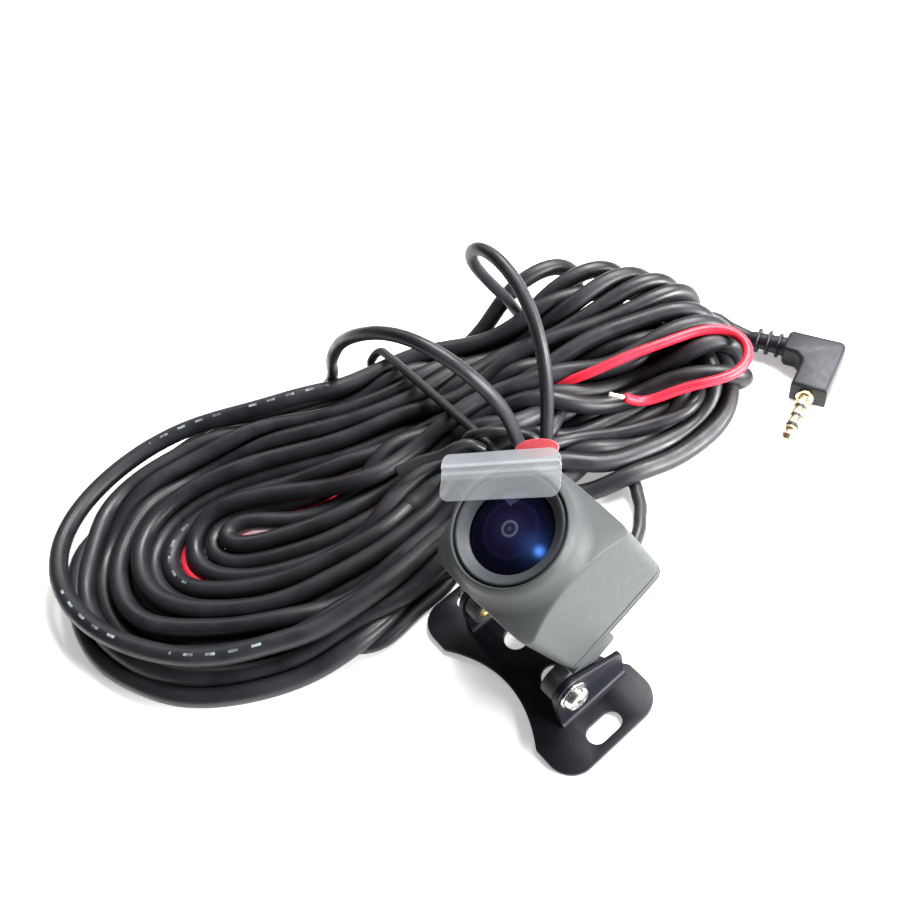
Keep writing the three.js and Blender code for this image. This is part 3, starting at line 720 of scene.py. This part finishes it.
def wire_route():
    """The trigger wire leaves the lead by the tie, takes two turns with it and comes out on top."""
    chance = np.random.default_rng(8)
    first = left_half(0.86, 2.6, 0.0, chance)[3:]
    second = left_half(1.72, 1.4, 0.0, chance)
    start, end = at_tie(0.86, 2.6, "far"), at_tie(1.72, 1.4, "near")
    over = end_on_edge((-46.0, 69.0, 8.0), start, end)
    return np.vstack([WIRE_SPLIT, first, over, second, WIRE_SEEN])


# ---- Laying the strands beside and on each other ----

# How strongly each round of settling acts, and how far it looks for strands that may touch
PUSH, STIFFNESS, PULL, SINK = 1.3, 0.9 / 16, 0.4, 0.035
REACH = 4.8


def close_pairs(points, reach, strand):
    """Pairs of points nearer than reach, apart from neighbours on one strand."""
    square = (points ** 2).sum(axis=1)
    apart = square[:, None] + square[None, :] - 2 * points @ points.T
    i, j = np.nonzero(np.triu(apart < reach * reach, k=1))
    keep = (strand[i] != strand[j]) | (j - i > 3)
    return i[keep], j[keep]


def laid(points, radius, strand, free, hold, rounds):
    """Pushes overlapping strands apart while they keep their length, bend smoothly and sink."""
    goal = points.copy()
    p = points.copy()
    n = len(p)
    same = strand[1:] == strand[:-1]
    inner = (strand[4:] == strand[:-4])[:, None]
    rest = np.linalg.norm(np.diff(p, axis=0), axis=1)
    sink = free * (1 - np.minimum(hold * 20, 1)) * SINK
    for k in range(rounds):
        if k % 6 == 0:
            i, j = close_pairs(p, REACH, strand)
        grow = min(1.0, 0.55 + 0.45 * k / (rounds * 0.35))
        gap = p[i] - p[j]
        distance = np.linalg.norm(gap, axis=1) + 1e-9
        over = (radius[i] + radius[j]) * grow - distance
        hit = over > 0
        push = gap[hit] * (over[hit] / distance[hit] * 0.5)[:, None]
        ends = np.concatenate([i[hit], j[hit]])
        both = np.concatenate([push, -push])
        count = np.maximum(np.bincount(ends, minlength=n), 1)
        move = np.stack([np.bincount(ends, both[:, c], n) for c in range(3)], axis=1) / count[:, None]
        p += free[:, None] * move * PUSH
        p += (free * hold * max(0.0, 1 - k / (rounds * 0.9)))[:, None] * (goal - p)
        p[:, 2] -= sink
        curl = np.zeros_like(p)
        curl[2:-2] = np.where(inner, p[:-4] - 4 * p[1:-3] + 6 * p[2:-2] - 4 * p[3:-1] + p[4:], 0)
        p -= free[:, None] * curl * STIFFNESS
        span = np.diff(p, axis=0)
        length = np.maximum(np.linalg.norm(span, axis=1), 1e-9)
        pull = np.where(same, (length - rest) / length, 0)[:, None] * span * PULL
        p[:-1] += free[:-1, None] * pull
        p[1:] -= free[1:, None] * pull
        p[:, 2] = np.where(free > 0, np.maximum(p[:, 2], radius), p[:, 2])
        clear_of_bracket(p, radius, free)
    return evened(p, free, strand)


def clear_of_bracket(p, radius, free):
    """Keeps strands on the floor from reaching the bracket's left end."""
    low = p[:, 2] < 1.2 + radius
    beside = (free > 0) & low & (np.abs(p[:, 1]) < 10.7 + radius) & (p[:, 0] < 0)
    p[beside, 0] = np.minimum(p[beside, 0], -20.3 - radius[beside])


def evened(p, free, strand):
    """Takes out short waves without shrinking the bends."""
    inner = (strand[2:] == strand[:-2])[:, None]
    for strength in (0.5, -0.53) * 10:
        bend = np.zeros_like(p)
        bend[1:-1] = np.where(inner, (p[:-2] + p[2:]) / 2 - p[1:-1], 0)
        p = p + free[:, None] * bend * strength
    return p


def along_route(points, route, within=0.4):
    fine = spline(route, 1.0)
    return np.min(np.linalg.norm(points[:, None, :] - fine[None], axis=2), axis=1) < within


def lay_cords():
    route, sizes = lead_route()
    lead = spline(route, 2.5)
    wire = spline(wire_route(), 2.5)
    points = np.vstack([lead, wire])
    strand = np.repeat([0, 1], [len(lead), len(wire)])
    radius = np.concatenate([spread_along(route, sizes, lead) / 2, np.full(len(wire), WIRE / 2)])
    free = np.ones(len(points))
    free[along_route(points, CAMERA_LEAD) | along_route(points, PLUG_LEAD[1:])] = 0
    hold = np.full(len(points), 0.012)
    hold[(points[:, 2] > 8.5) & (points[:, 1] > 50)] = 0.06
    hold[along_route(points, FAR_LOOP) | along_route(points, NEAR_LOOP)] = 0.3
    hold[along_route(points, TOPMOST)] = 0.06
    hold[along_route(points, WIRE_SEEN)] = 0.3
    settled = laid(points, radius, strand, free, hold, 280)
    fine = spline(settled[strand == 0], 1.25)
    places = (np.linspace(0, 1, len(line)) for line in (fine, lead))
    thickness = np.interp(*places, radius[strand == 0])
    return fine, thickness, spline(settled[strand == 1], 1.25)


def spread_along(route, sizes, line):
    """Sizes given at a route's points, carried over to a finer line, with soft steps between them."""
    at_points, at_line = (along / along[-1] for along in map(distance_along, (route, line)))
    stepped = np.interp(at_line, at_points, sizes)
    return np.convolve(np.pad(stepped, 6, mode="edge"), np.full(13, 1 / 13), mode="valid")


LEAD_LINE, LEAD_RADIUS, WIRE_LINE = lay_cords()

# ---- The twist tie round the hank ----

TIE_WIRE = 1.9


def tie_band():
    """A closed line round every strand that crosses the tie, drawn tight."""
    strands = np.vstack([LEAD_LINE, WIRE_LINE])
    held = strands[(np.abs(strands[:, 1] - TIE_Y) < 1.6) & (strands[:, 2] < 14) & (strands[:, 0] < -15)]
    reach = (LEAD + TIE_WIRE) / 2 + 0.1
    line = []
    for angle in np.arange(0, 360, 5):
        way = np.array([math.cos(math.radians(angle)), math.sin(math.radians(angle))])
        furthest = held[np.argmax(held[:, [0, 2]] @ way)]
        x, z = furthest[[0, 2]] + way * reach
        slant = way[1] - 0.05 * (x + 40) * max(way[1], 0)
        line.append([x, TIE_Y + 0.9 + slant, max(z, TIE_WIRE / 2)])
    line.append(line[0])
    return spline(line, 0.8)


# The tie's knot: one end arches over to the right, and the other crosses it and runs off to the left
TIE_ARCH = [
    [-37.2, 16.6, 11.6], [-37.0, 18.3, 13.4], [-35.1, 19.9, 14.6], [-33.6, 21.7, 14.8], [-31.3, 24.3, 14.0],
    [-28.9, 26.9, 12.4], [-27.9, 27.6, 11.0],
]
TIE_TAIL = [
    [-33.4, 18.8, 12.2], [-35.0, 17.2, 14.0], [-36.4, 15.2, 13.9], [-38.4, 12.5, 12.2], [-41.1, 8.8, 11.2],
    [-43.4, 4.6, 10.0],
]


def twist_tie():
    lines = [tie_band(), spline(TIE_ARCH, 0.6), spline(TIE_TAIL, 0.6)]
    return joined_tubes([tube(line, TIE_WIRE / 2, 12) for line in lines])


def joined_tubes(tubes):
    points, faces = joined(*[t[:2] for t in tubes])
    return points, faces, {label: sum((t[2][label] for t in tubes), []) for label in tubes[0][2]}


def split_sleeve():
    """The short shrunk sleeve where the trigger wire leaves the lead."""
    start = WIRE_LINE[0]
    near = int(np.argmin(np.linalg.norm(LEAD_LINE - start, axis=1)))
    line = LEAD_LINE[max(near - 8, 0):near + 9]
    around = LEAD_RADIUS[near]
    radius = [around + 0.1] + [around + 0.4] * (len(line) - 2) + [around + 0.1]
    return tube(line, radius, 16)


# ---- The plug ----


def plug_body():
    outline = [
        (-7.5, 2.0), (-6.8, 2.7), (2.3, 2.7), *arc(2.3, 1.2, 1.5, 85, 5, 6), (3.8, 1.2), (3.8, -11.0),
        (-3.1, -11.0), (-3.1, -4.9), (-3.3, -4.1), (-4.6, -2.9), (-5.3, -2.8), (-6.8, -2.8), (-7.5, -2.1),
    ]
    return plate(outline, [], -2.6, 2.6, 0.7)


def plug_relief():
    """A thin sleeve on the lead with round fins."""
    profile = [(0, -14.5), (1.5, -14.5), (1.65, -14.3)]
    for i in range(3):
        x = -13.3 + i * 2.1
        foot, tip = 1.65 + i * 0.12, 2.55
        edge = tip - 0.12
        profile += [(foot, x), (edge, x + 0.06), (tip, x + 0.2)]
        profile += [(tip, x + 0.5), (edge, x + 0.64), (foot, x + 0.7)]
    profile += [(2.0, -7.65), (2.0, -7.4), (0, -7.4)]
    return moved(turned(profile, 40), Matrix.Rotation(math.radians(90), 4, "Y"))


POLE_GAP = 0.05
JACK_POLES = [
    ("jack_collar", 0.8, 1.7, "gold_plate"),
    ("jack_sleeve", 2.3, 1.25, "gold_plate"),
    ("jack_insulator_1", 0.55, 1.25, "inner_plastic"),
    ("jack_ring_1", 1.75, 1.25, "gold_plate"),
    ("jack_insulator_2", 0.55, 1.25, "inner_plastic"),
    ("jack_ring_2", 1.75, 1.25, "gold_plate"),
    ("jack_insulator_3", 0.55, 1.25, "inner_plastic"),
]
JACK_TIP = [
    (0, 0), (1.15, 0), (1.2, 0.5), (0.85, 1.1), (0.8, 1.5), (1.22, 2.0), (1.2, 2.3), (0.75, 3.1), (0, 3.45),
]


def add_jack():
    shaft = PLUG @ Matrix.Translation((0, -11, 0)) @ Matrix.Rotation(math.radians(90), 4, "X")
    z = POLE_GAP
    profiles = []
    for node, length, radius, look in JACK_POLES:
        pole = [(0, z), (radius, z), (radius, z + length), (0, z + length)]
        profiles.append((node, softened(pole, 0.06, 2), look))
        z += length + POLE_GAP
    tip = [(r, z + height) for r, height in JACK_TIP]
    profiles.append(("jack_tip", softened(tip, 0.2), "gold_plate"))
    return [
        piece(f"{node}_looks", turned(profile, 48), look, "base", shaft, replaces=[node])
        for node, profile, look in profiles
    ]


# ---- Cords and what they carry, put together ----


def wire_strands():
    """The bare, twisted strands at the trigger wire's free end."""
    way = WIRE_LINE[-1] - WIRE_LINE[-4]
    way /= np.linalg.norm(way)
    side = np.cross(way, (0, 0, 1.0))
    side /= np.linalg.norm(side)
    up = np.cross(side, way)
    strands = []
    for k in range(7):
        around = k * math.pi / 3
        out = 0.0 if k == 6 else 0.34
        s = np.linspace(-1.2, 3.4 + 0.3 * math.sin(k * 2.2), 14)[:, None]
        phase = around + s * 0.9
        line = WIRE_LINE[-1] + way * s + (side * np.cos(phase) + up * np.sin(phase)) * out
        strands.append(tube(line, 0.18, 8)[:2])
    return joined(*strands)


PRINTED_NEAR = [[-87.9, -21.3, 6], [-79.2, -0.1, 6.5], [-60.7, -56.5, 7], [-36.1, -41.4, 7], [-66, -39, 6]]


def printed_stretches():
    """Which points of the lead carry print: the top strand at each of a few places."""
    printed = np.zeros(len(LEAD_LINE))
    for spot in PRINTED_NEAR:
        near = np.linalg.norm(LEAD_LINE[:, :2] - spot[:2], axis=1)
        middle = int(np.argmin(near - LEAD_LINE[:, 2] * 0.8))
        printed[max(middle - 7, 0):middle + 8] = 1
    return printed


def add_cords():
    lead_shape = tube(LEAD_LINE, LEAD_RADIUS, 16, printed_stretches())
    lead_nodes = ("cable_hank", "lead_camera_end", "lead_far_loop", "lead_near_loop", "lead_plug_end")
    lead = piece("lead", lead_shape, "lead_sheath", replaces=lead_nodes)
    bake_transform(lead)
    wire_shape = tube(WIRE_LINE, WIRE / 2)
    wire = piece("trigger_lead", wire_shape, "red_sheath", "base", replaces=["trigger_wire"])
    strands = piece("wire_strands", wire_strands(), "tinned_copper", "base", replaces=["trigger_wire_end"])
    tie = piece("tie", twist_tie(), "tie_sheath", "base", replaces=["twist_tie"])
    sleeve = piece("split_sleeve", split_sleeve(), "seal_rubber", "base")
    body = piece("plug", plug_body(), "plug_moulding", "base", PLUG, replaces=["plug_body"])
    fins = plug_relief()
    relief = piece("plug_fins", fins, "plug_moulding", "base", PLUG, replaces=["plug_strain_relief"])
    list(add_jack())


add_cords()

# ---- The bracket ----

ACROSS = Matrix(((0, 0, 1, 0), (1, 0, 0, 0), (0, 1, 0, 0), (0, 0, 0, 1)))  # shape x, y, z to Y, Z, X


def bent(start, middle, end, steps=24):
    """A quadratic curve between two points, pulled towards the middle one."""
    return [
        tuple((1 - t) ** 2 * a + 2 * t * (1 - t) * m + t * t * b for a, m, b in zip(start, middle, end))
        for t in (i / steps for i in range(steps + 1))
    ]


def plate_outline():
    near = bent((-12.2, -10.7), (0, -2.5), (12.2, -10.7))
    right = arc(15.6, -6.1, 4.6, -90, 0) + arc(15.6, 6.1, 4.6, 0, 90)
    far = bent((12.2, 10.7), (0, 2.5), (-12.2, 10.7))
    left = arc(-15.6, 6.1, 4.6, 90, 180) + arc(-15.6, -6.1, 4.6, 180, 270)
    return near + right + far + left


def slot_hole(x):
    return arc(x, 1.7, 1.7, 0, 180, 16) + arc(x, -1.7, 1.7, 180, 360, 16)


def ear_outline():
    top = arc(-1.8, 9.5, 3.3, 180, 75.6, 24)
    rear = arc(8.0, 7.0, 1.2, 90, 0, 8)
    return [(-5.0, 0.5)] + top + rear + [(9.2, 0.5)]


def bend_fillet(x, facing):
    """The soft inside corner between an ear and the plate."""
    r = 0.9
    angles = np.linspace(0, math.pi / 2, 8)
    curve = [(x + facing * (r - r * math.sin(a)), 1 + r - r * math.cos(a)) for a in angles]
    section = [(x, 0.9), *curve, (x, 0.9 + r)]
    points = [(px, y, pz) for y in (-4.9, 9.1) for px, pz in section]
    n = len(section)
    faces = [(i, (i + 1) % n, n + (i + 1) % n, n + i) for i in range(n)]
    return points, faces + [tuple(range(n)), tuple(range(2 * n - 1, n - 1, -1))]


def bracket_shape():
    holes = [circle(4.9, 0, 2.2), circle(-4.9, 0, 2.2), slot_hole(17), slot_hole(-17)]
    base = plate(plate_outline(), holes, 0, 1, 0.16)
    ears = [
        moved(plate(ear_outline(), [circle(-1.8, 9.5, 1.4)], low, low + 1, 0.14), ACROSS)
        for low in (11.3, -12.3)
    ]
    fillets = [bend_fillet(x * way, side * way) for way in (1, -1) for x, side in ((12.3, 1), (11.3, -1))]
    return joined(base, *ears, *fillets)


piece("bracket_looks", bracket_shape(), "bracket_paint", "base", replaces=["bracket"])

# ---- The head ----

CONE = [(15.8, 18.6), (14.1, 21.1), (12.2, 23.2), (11.0, 24.4), (10.1, 25.9), (9.6, 27.3), (9.1, 28.0)]


def square_reach(angle, half, corner):
    """How far a rounded square's edge is from its middle, in that direction."""
    c, s = abs(math.cos(angle)), abs(math.sin(angle))
    c, s = max(c, s), min(c, s)
    flat = half / c
    inner = half - corner
    if flat * s <= inner:
        return flat
    along = inner * (c + s)
    return along + math.sqrt(along * along - 2 * inner * inner + corner * corner)


def rounded_square(half, corner, sides=96):
    return [
        (r * math.cos(a), r * math.sin(a))
        for a in (2 * math.pi * i / sides for i in range(sides))
        for r in [square_reach(a, half, corner)]
    ]


def housing():
    """The front shell, drawn as one section for each direction round the axis."""
    cone = spline([(r, 0, z) for r, z in CONE], 0.25)[:, [0, 2]]
    sides, front, sections = 240, 18, []
    for i in range(sides):
        reach = square_reach(2 * math.pi * i / sides, 11.0, 1.9)
        inside = square_reach(2 * math.pi * i / sides, 9.3, 1.0)
        meets = float(np.interp(-reach, -cone[:, 0], np.arange(len(cone))))
        places = np.linspace(meets + 1.6, len(cone) - 1, front)
        taper = [tuple(np.interp(k, range(len(cone)), cone[:, axis]) for axis in (0, 1)) for k in places]
        top = float(np.interp(meets, range(len(cone)), cone[:, 1]))
        edge = bent((reach, top - 0.45), (reach, top), taper[0], 4)[:-1]
        lip = [(reach - 0.35, 2.9), (reach - 0.33, 2.43), (reach - 0.12, 2.43), (reach, 2.55)]
        side = lip + [(reach, 9.0), (reach, top - 1.5)]
        rim = [(9.0, 28.1), (8.85, 28.15), (8.7, 28.1), (8.6, 27.9), (8.6, 24.4), (7.3, 24.4), (7.3, 18)]
        hollow = [(inside, 17.9), (inside, 2.9)]
        sections.append(side + edge + taper + rim + hollow)
    return swept_round(sections)


def swept_round(sections):
    """Closed sections of (radius, z), one for each even step round z, joined into a shell."""
    sides, n = len(sections), len(sections[0])
    points = [
        (r * math.cos(2 * math.pi * i / sides), r * math.sin(2 * math.pi * i / sides), z)
        for i, section in enumerate(sections)
        for r, z in section
    ]
    faces = []
    for i in range(sides):
        a, b = i * n, (i + 1) % sides * n
        faces += [(a + k, b + k, b + (k + 1) % n, a + (k + 1) % n) for k in range(n)]
    return points, faces


COVER_SCREWS = [(x * 5.9, y * 8.1) for y in (-1, 1) for x in (-1, 1)]


def rear_cover():
    outline = rounded_square(11.0, 1.9)
    gland = circle(0, 3.5, 2.3)
    outer = plate(outline, [circle(x, y, 1.9) for x, y in COVER_SCREWS] + [gland], 0, 1.25, 0.45)
    inner = plate(outline, [circle(x, y, 0.95) for x, y in COVER_SCREWS] + [gland], 1.15, 2.2, 0.08)
    lug = [
        (-10.9, 2.0), *arc(-13.4, -1.05, 3.0, 70, 285, 32), (-4.2, -3.0),
        *arc(-3.3, -1.9, 1.1, -90, 0, 8), (-2.2, 0.4), (-10.9, 0.4),
    ]
    bore = [circle(-13.4, -1.05, 1.9)]
    lugs = [moved(plate(lug, bore, low, low + 2.8, 0.2), ACROSS) for low in (8.2, -11.0)]
    return joined(outer, inner, *lugs)


def step_of(depth, width):
    """0 outside an edge, 1 further inside it than width."""
    return min(max(depth / width, 0), 1)


def pan_screw(head_r, height, shank_r, length):
    """A pan-head screw with a cross recess; its head faces +z and sits on z = 0."""
    sides, rings = 96, 22
    points, faces = [(0, 0, height * 0.5)], []
    for k in range(1, rings + 1):
        r = head_r * 0.86 * k / rings
        for i in range(sides):
            a = 2 * math.pi * i / sides
            x, y = r * math.cos(a), r * math.sin(a)
            dome = height * (1 - 0.25 * (r / head_r) ** 2)
            long, wide = max(abs(x), abs(y)), min(abs(x), abs(y))
            inside = step_of(head_r * 0.15 - wide, 0.06) * step_of(head_r * 0.62 - long, 0.12)
            points.append((x, y, dome - inside * height * 0.5))
    faces += [(0, 1 + i, 1 + (i + 1) % sides) for i in range(sides)]
    side = [(0.94, 0.66), (0.99, 0.48), (1.0, 0.25), (1.0, 0.06), (0.97, 0)]
    shank = [(shank_r, 0), (shank_r, -length + 0.2), (shank_r * 0.7, -length)]
    rows = [(head_r * r, height * z) for r, z in side] + shank
    for r, z in rows:
        points += ring(r, z, sides)
    for k in range(rings + len(rows) - 1):
        faces += between(1 + k * sides, 1 + (k + 1) * sides, sides)
    faces.append(tuple(range(len(points) - sides, len(points))))
    return points, faces


def add_shell():
    piece("housing", housing(), "housing_plastic", "head", HEAD, 25, ["front_housing"])
    piece("cover", rear_cover(), "cover_plastic", "head", HEAD, 35, ["rear_cover"])
    recess = Matrix.Translation((0, 0, 1.1)) @ Matrix.Rotation(math.pi, 4, "X")
    for i, (x, y) in enumerate(COVER_SCREWS):
        node = f"cover_screw_{i + 1}"
        place = HEAD @ Matrix.Translation((x, y, 0)) @ recess
        piece(f"{node}_looks", pan_screw(1.6, 1.0, 0.7, 7.4), "plated_steel", "head", place, 30, [node])


WASHER = [(1.4, 12.4), (2.6, 12.4), (2.6, 12.8), (1.4, 12.8), (1.4, 12.4)]
INSERT = [(1.25, 8.4), (1.8, 8.4), (1.8, 10.8), (1.25, 10.8), (1.25, 8.4)]


def add_pivot():
    screw = moved(pan_screw(2.2, 1.5, 1.15, 4.3), Matrix.Translation((0, 0, 12.9)))
    washer = turned(softened(WASHER, 0.08), 64)
    insert = turned(softened(INSERT, 0.1), 48)
    for side, word in ((1, "right"), (-1, "left")):
        across = PIVOT @ Matrix.Rotation(math.radians(90 * side), 4, "Y")
        piece(f"screw_{word}", screw, "plated_steel", "head", across, 30, [f"pivot_screw_{word}"])
        piece(f"washer_{word}", washer, "plated_steel", "head", across, 35, [f"pivot_washer_{word}"])
        piece(f"insert_{word}", insert, "brass", "head", across, 35, [f"pivot_insert_{word}"])


GLAND = [
    (1.4, -5.6), (1.9, -5.6), (2.2, -4.0), (1.9, -3.9), (2.0, -3.3), (2.5, -3.2), (2.7, -1.8), (2.1, -1.7),
    (2.2, -1.2), (3.0, -1.1), (3.1, -0.1), (2.15, -0.1), (2.15, 2.3), (2.9, 2.3), (2.9, 2.8), (1.4, 2.8),
    (1.4, -5.6),
]
BEZEL_RING = [
    (6.5, 26.75), (6.5, 26.45), (7.0, 26.4), (7.0, 25.2), (8.45, 25.2), (8.45, 27.55), (8.25, 27.9),
    (7.95, 27.95), (7.55, 27.6), (7.0, 27.1), (6.5, 26.75),
]
PAINTED_GLINT_SPOT = (5.4, 0.4)  # where the painted blue highlight of the coating lies, on the lens


def add_lens_and_gland():
    place = HEAD @ Matrix.Translation((0, 3.5, 0))
    gland = turned(softened(GLAND, 0.12), 64)
    bezel = turned(softened(BEZEL_RING, 0.12), 128)
    piece("gland", gland, "seal_rubber", "head", place, 50, ["cable_gland"])
    piece("bezel", bezel, "bezel_plastic", "head", HEAD, 40, ["lens_bezel"])
    piece("outer_lens", front_lens(), "front_glass", "head", HEAD, 40, ["front_lens"])


def hump(off, width):
    return math.exp(-((off / width) ** 2))


def front_lens():
    """A shallow dome, with how far out each point is and how near the painted blue highlight."""
    dome = [(6.8 * k / 60, 27.4 - 1.2 * (k / 60) ** 2) for k in range(61)]
    points, faces = turned([(0, 25.0), (6.8, 25.0)] + dome[::-1], 128)
    radius = [math.hypot(x, y) / 6.8 for x, y, z in points]
    # How strongly each point carries the painted blue highlight
    glow = []
    for x, y, z in points:
        near = math.hypot(x - PAINTED_GLINT_SPOT[0], y - PAINTED_GLINT_SPOT[1])
        wide = math.hypot(x - PAINTED_GLINT_SPOT[0] * 0.8, y - PAINTED_GLINT_SPOT[1] * 0.8)
        glow.append(0.75 * hump(near, 0.65) + 0.08 * hump(wide, 1.9))
    return points, faces, {"radius": radius, "glow": glow}


# ---- The peeled film and its pull tab ----

FILM_PLACE = HEAD @ Matrix.Translation((0, 0, 28.15)) @ Matrix.Rotation(math.radians(40), 4, "Z")


def film_shape():
    """A stiff clear strip, flat on the rim, lifting off it in soft creases, with rounded corners."""
    across, along, thick, corner = 40, 100, 0.12, 1.5
    points, rises = [], []
    for side in (0, 1):
        for i in range(along + 1):
            x = -11.2 + 18.6 * i / along
            from_end = min(x + 11.2, 7.4 - x)
            inset = corner - math.sqrt(max(corner ** 2 - max(corner - from_end, 0) ** 2, 0))
            for k in range(across + 1):
                t = k / across
                y = 4.1 + inset + (6.9 - 2 * inset) * t
                lift = max(y - 7.9, 0) ** 1.4 * 0.23
                crease = 0.16 * hump(y - 9.2, 0.25) + 0.10 * hump(y - 8.1, 0.2)
                ripple = 0.06 * math.sin(x * 0.35 + 1.2 * t) + 0.02 * math.sin(x * 0.8 - 3 * t)
                rise = 0.14 + lift + crease + ripple * (0.4 + t) * 0.6
                points.append((x, y, max(rise, 0.02) + side * thick))
                rises.append((y - 4.1) / 6.9)
    row, sheet = across + 1, (across + 1) * (along + 1)
    faces = []
    for i in range(along):
        for k in range(across):
            a = i * row + k
            faces.append((a, a + 1, a + row + 1, a + row))
            faces.append((sheet + a, sheet + a + row, sheet + a + row + 1, sheet + a + 1))
    edge = list(range(row)) + [i * row + across for i in range(1, along + 1)]
    edge += [along * row + k for k in range(across - 1, -1, -1)]
    edge += [i * row for i in range(along - 1, 0, -1)]
    faces += [(a, b, sheet + b, sheet + a) for a, b in zip(edge, edge[1:] + edge[:1])]
    return points, faces, {"rise": rises}


def tab_shape():
    angles = np.linspace(0, 2 * math.pi, 64, endpoint=False)
    oval = [(3.3 * math.cos(a), 1.39 * math.sin(a)) for a in angles]
    return plate(oval, [], 0, 0.3, 0.1)


def add_film():
    piece("film", film_shape(), "clear_film", "head", FILM_PLACE, 60, ["lens_film"])
    place = FILM_PLACE @ Matrix.Translation((3.7, 11.3, 0.62)) @ Matrix.Rotation(math.radians(20), 4, "X")
    piece("pull_tab", tab_shape(), "red_film", "head", place, 40, ["film_pull_tab"])


add_shell()
add_pivot()
add_lens_and_gland()
add_film()

# ---- Floor ----


def add_floor():
    """A white floor just under the object, a little bright by itself, so that its shadows stay light."""
    bare, shader = bare_material("floor_white", (0.95, 0.95, 0.95), 0.9)
    feed(bare, shader, "Base Color", ramp(bare, noise(bare, 3, 2), 0.93, 0.96))
    socket(shader, "Emission Color", (1, 1, 1, 1))
    socket(shader, "Emission Strength", 0.38)
    half, z = 3, -0.0002  # metres
    mesh = bpy.data.meshes.new("floor")
    corners = [(-half, -half, z), (half, -half, z), (half, half, z), (-half, half, z)]
    mesh.from_pydata(corners, [], [(0, 1, 2, 3)])
    mesh.materials.append(bare)
    floor = bpy.data.objects.new("floor", mesh)
    scene.collection.objects.link(floor)


add_floor()
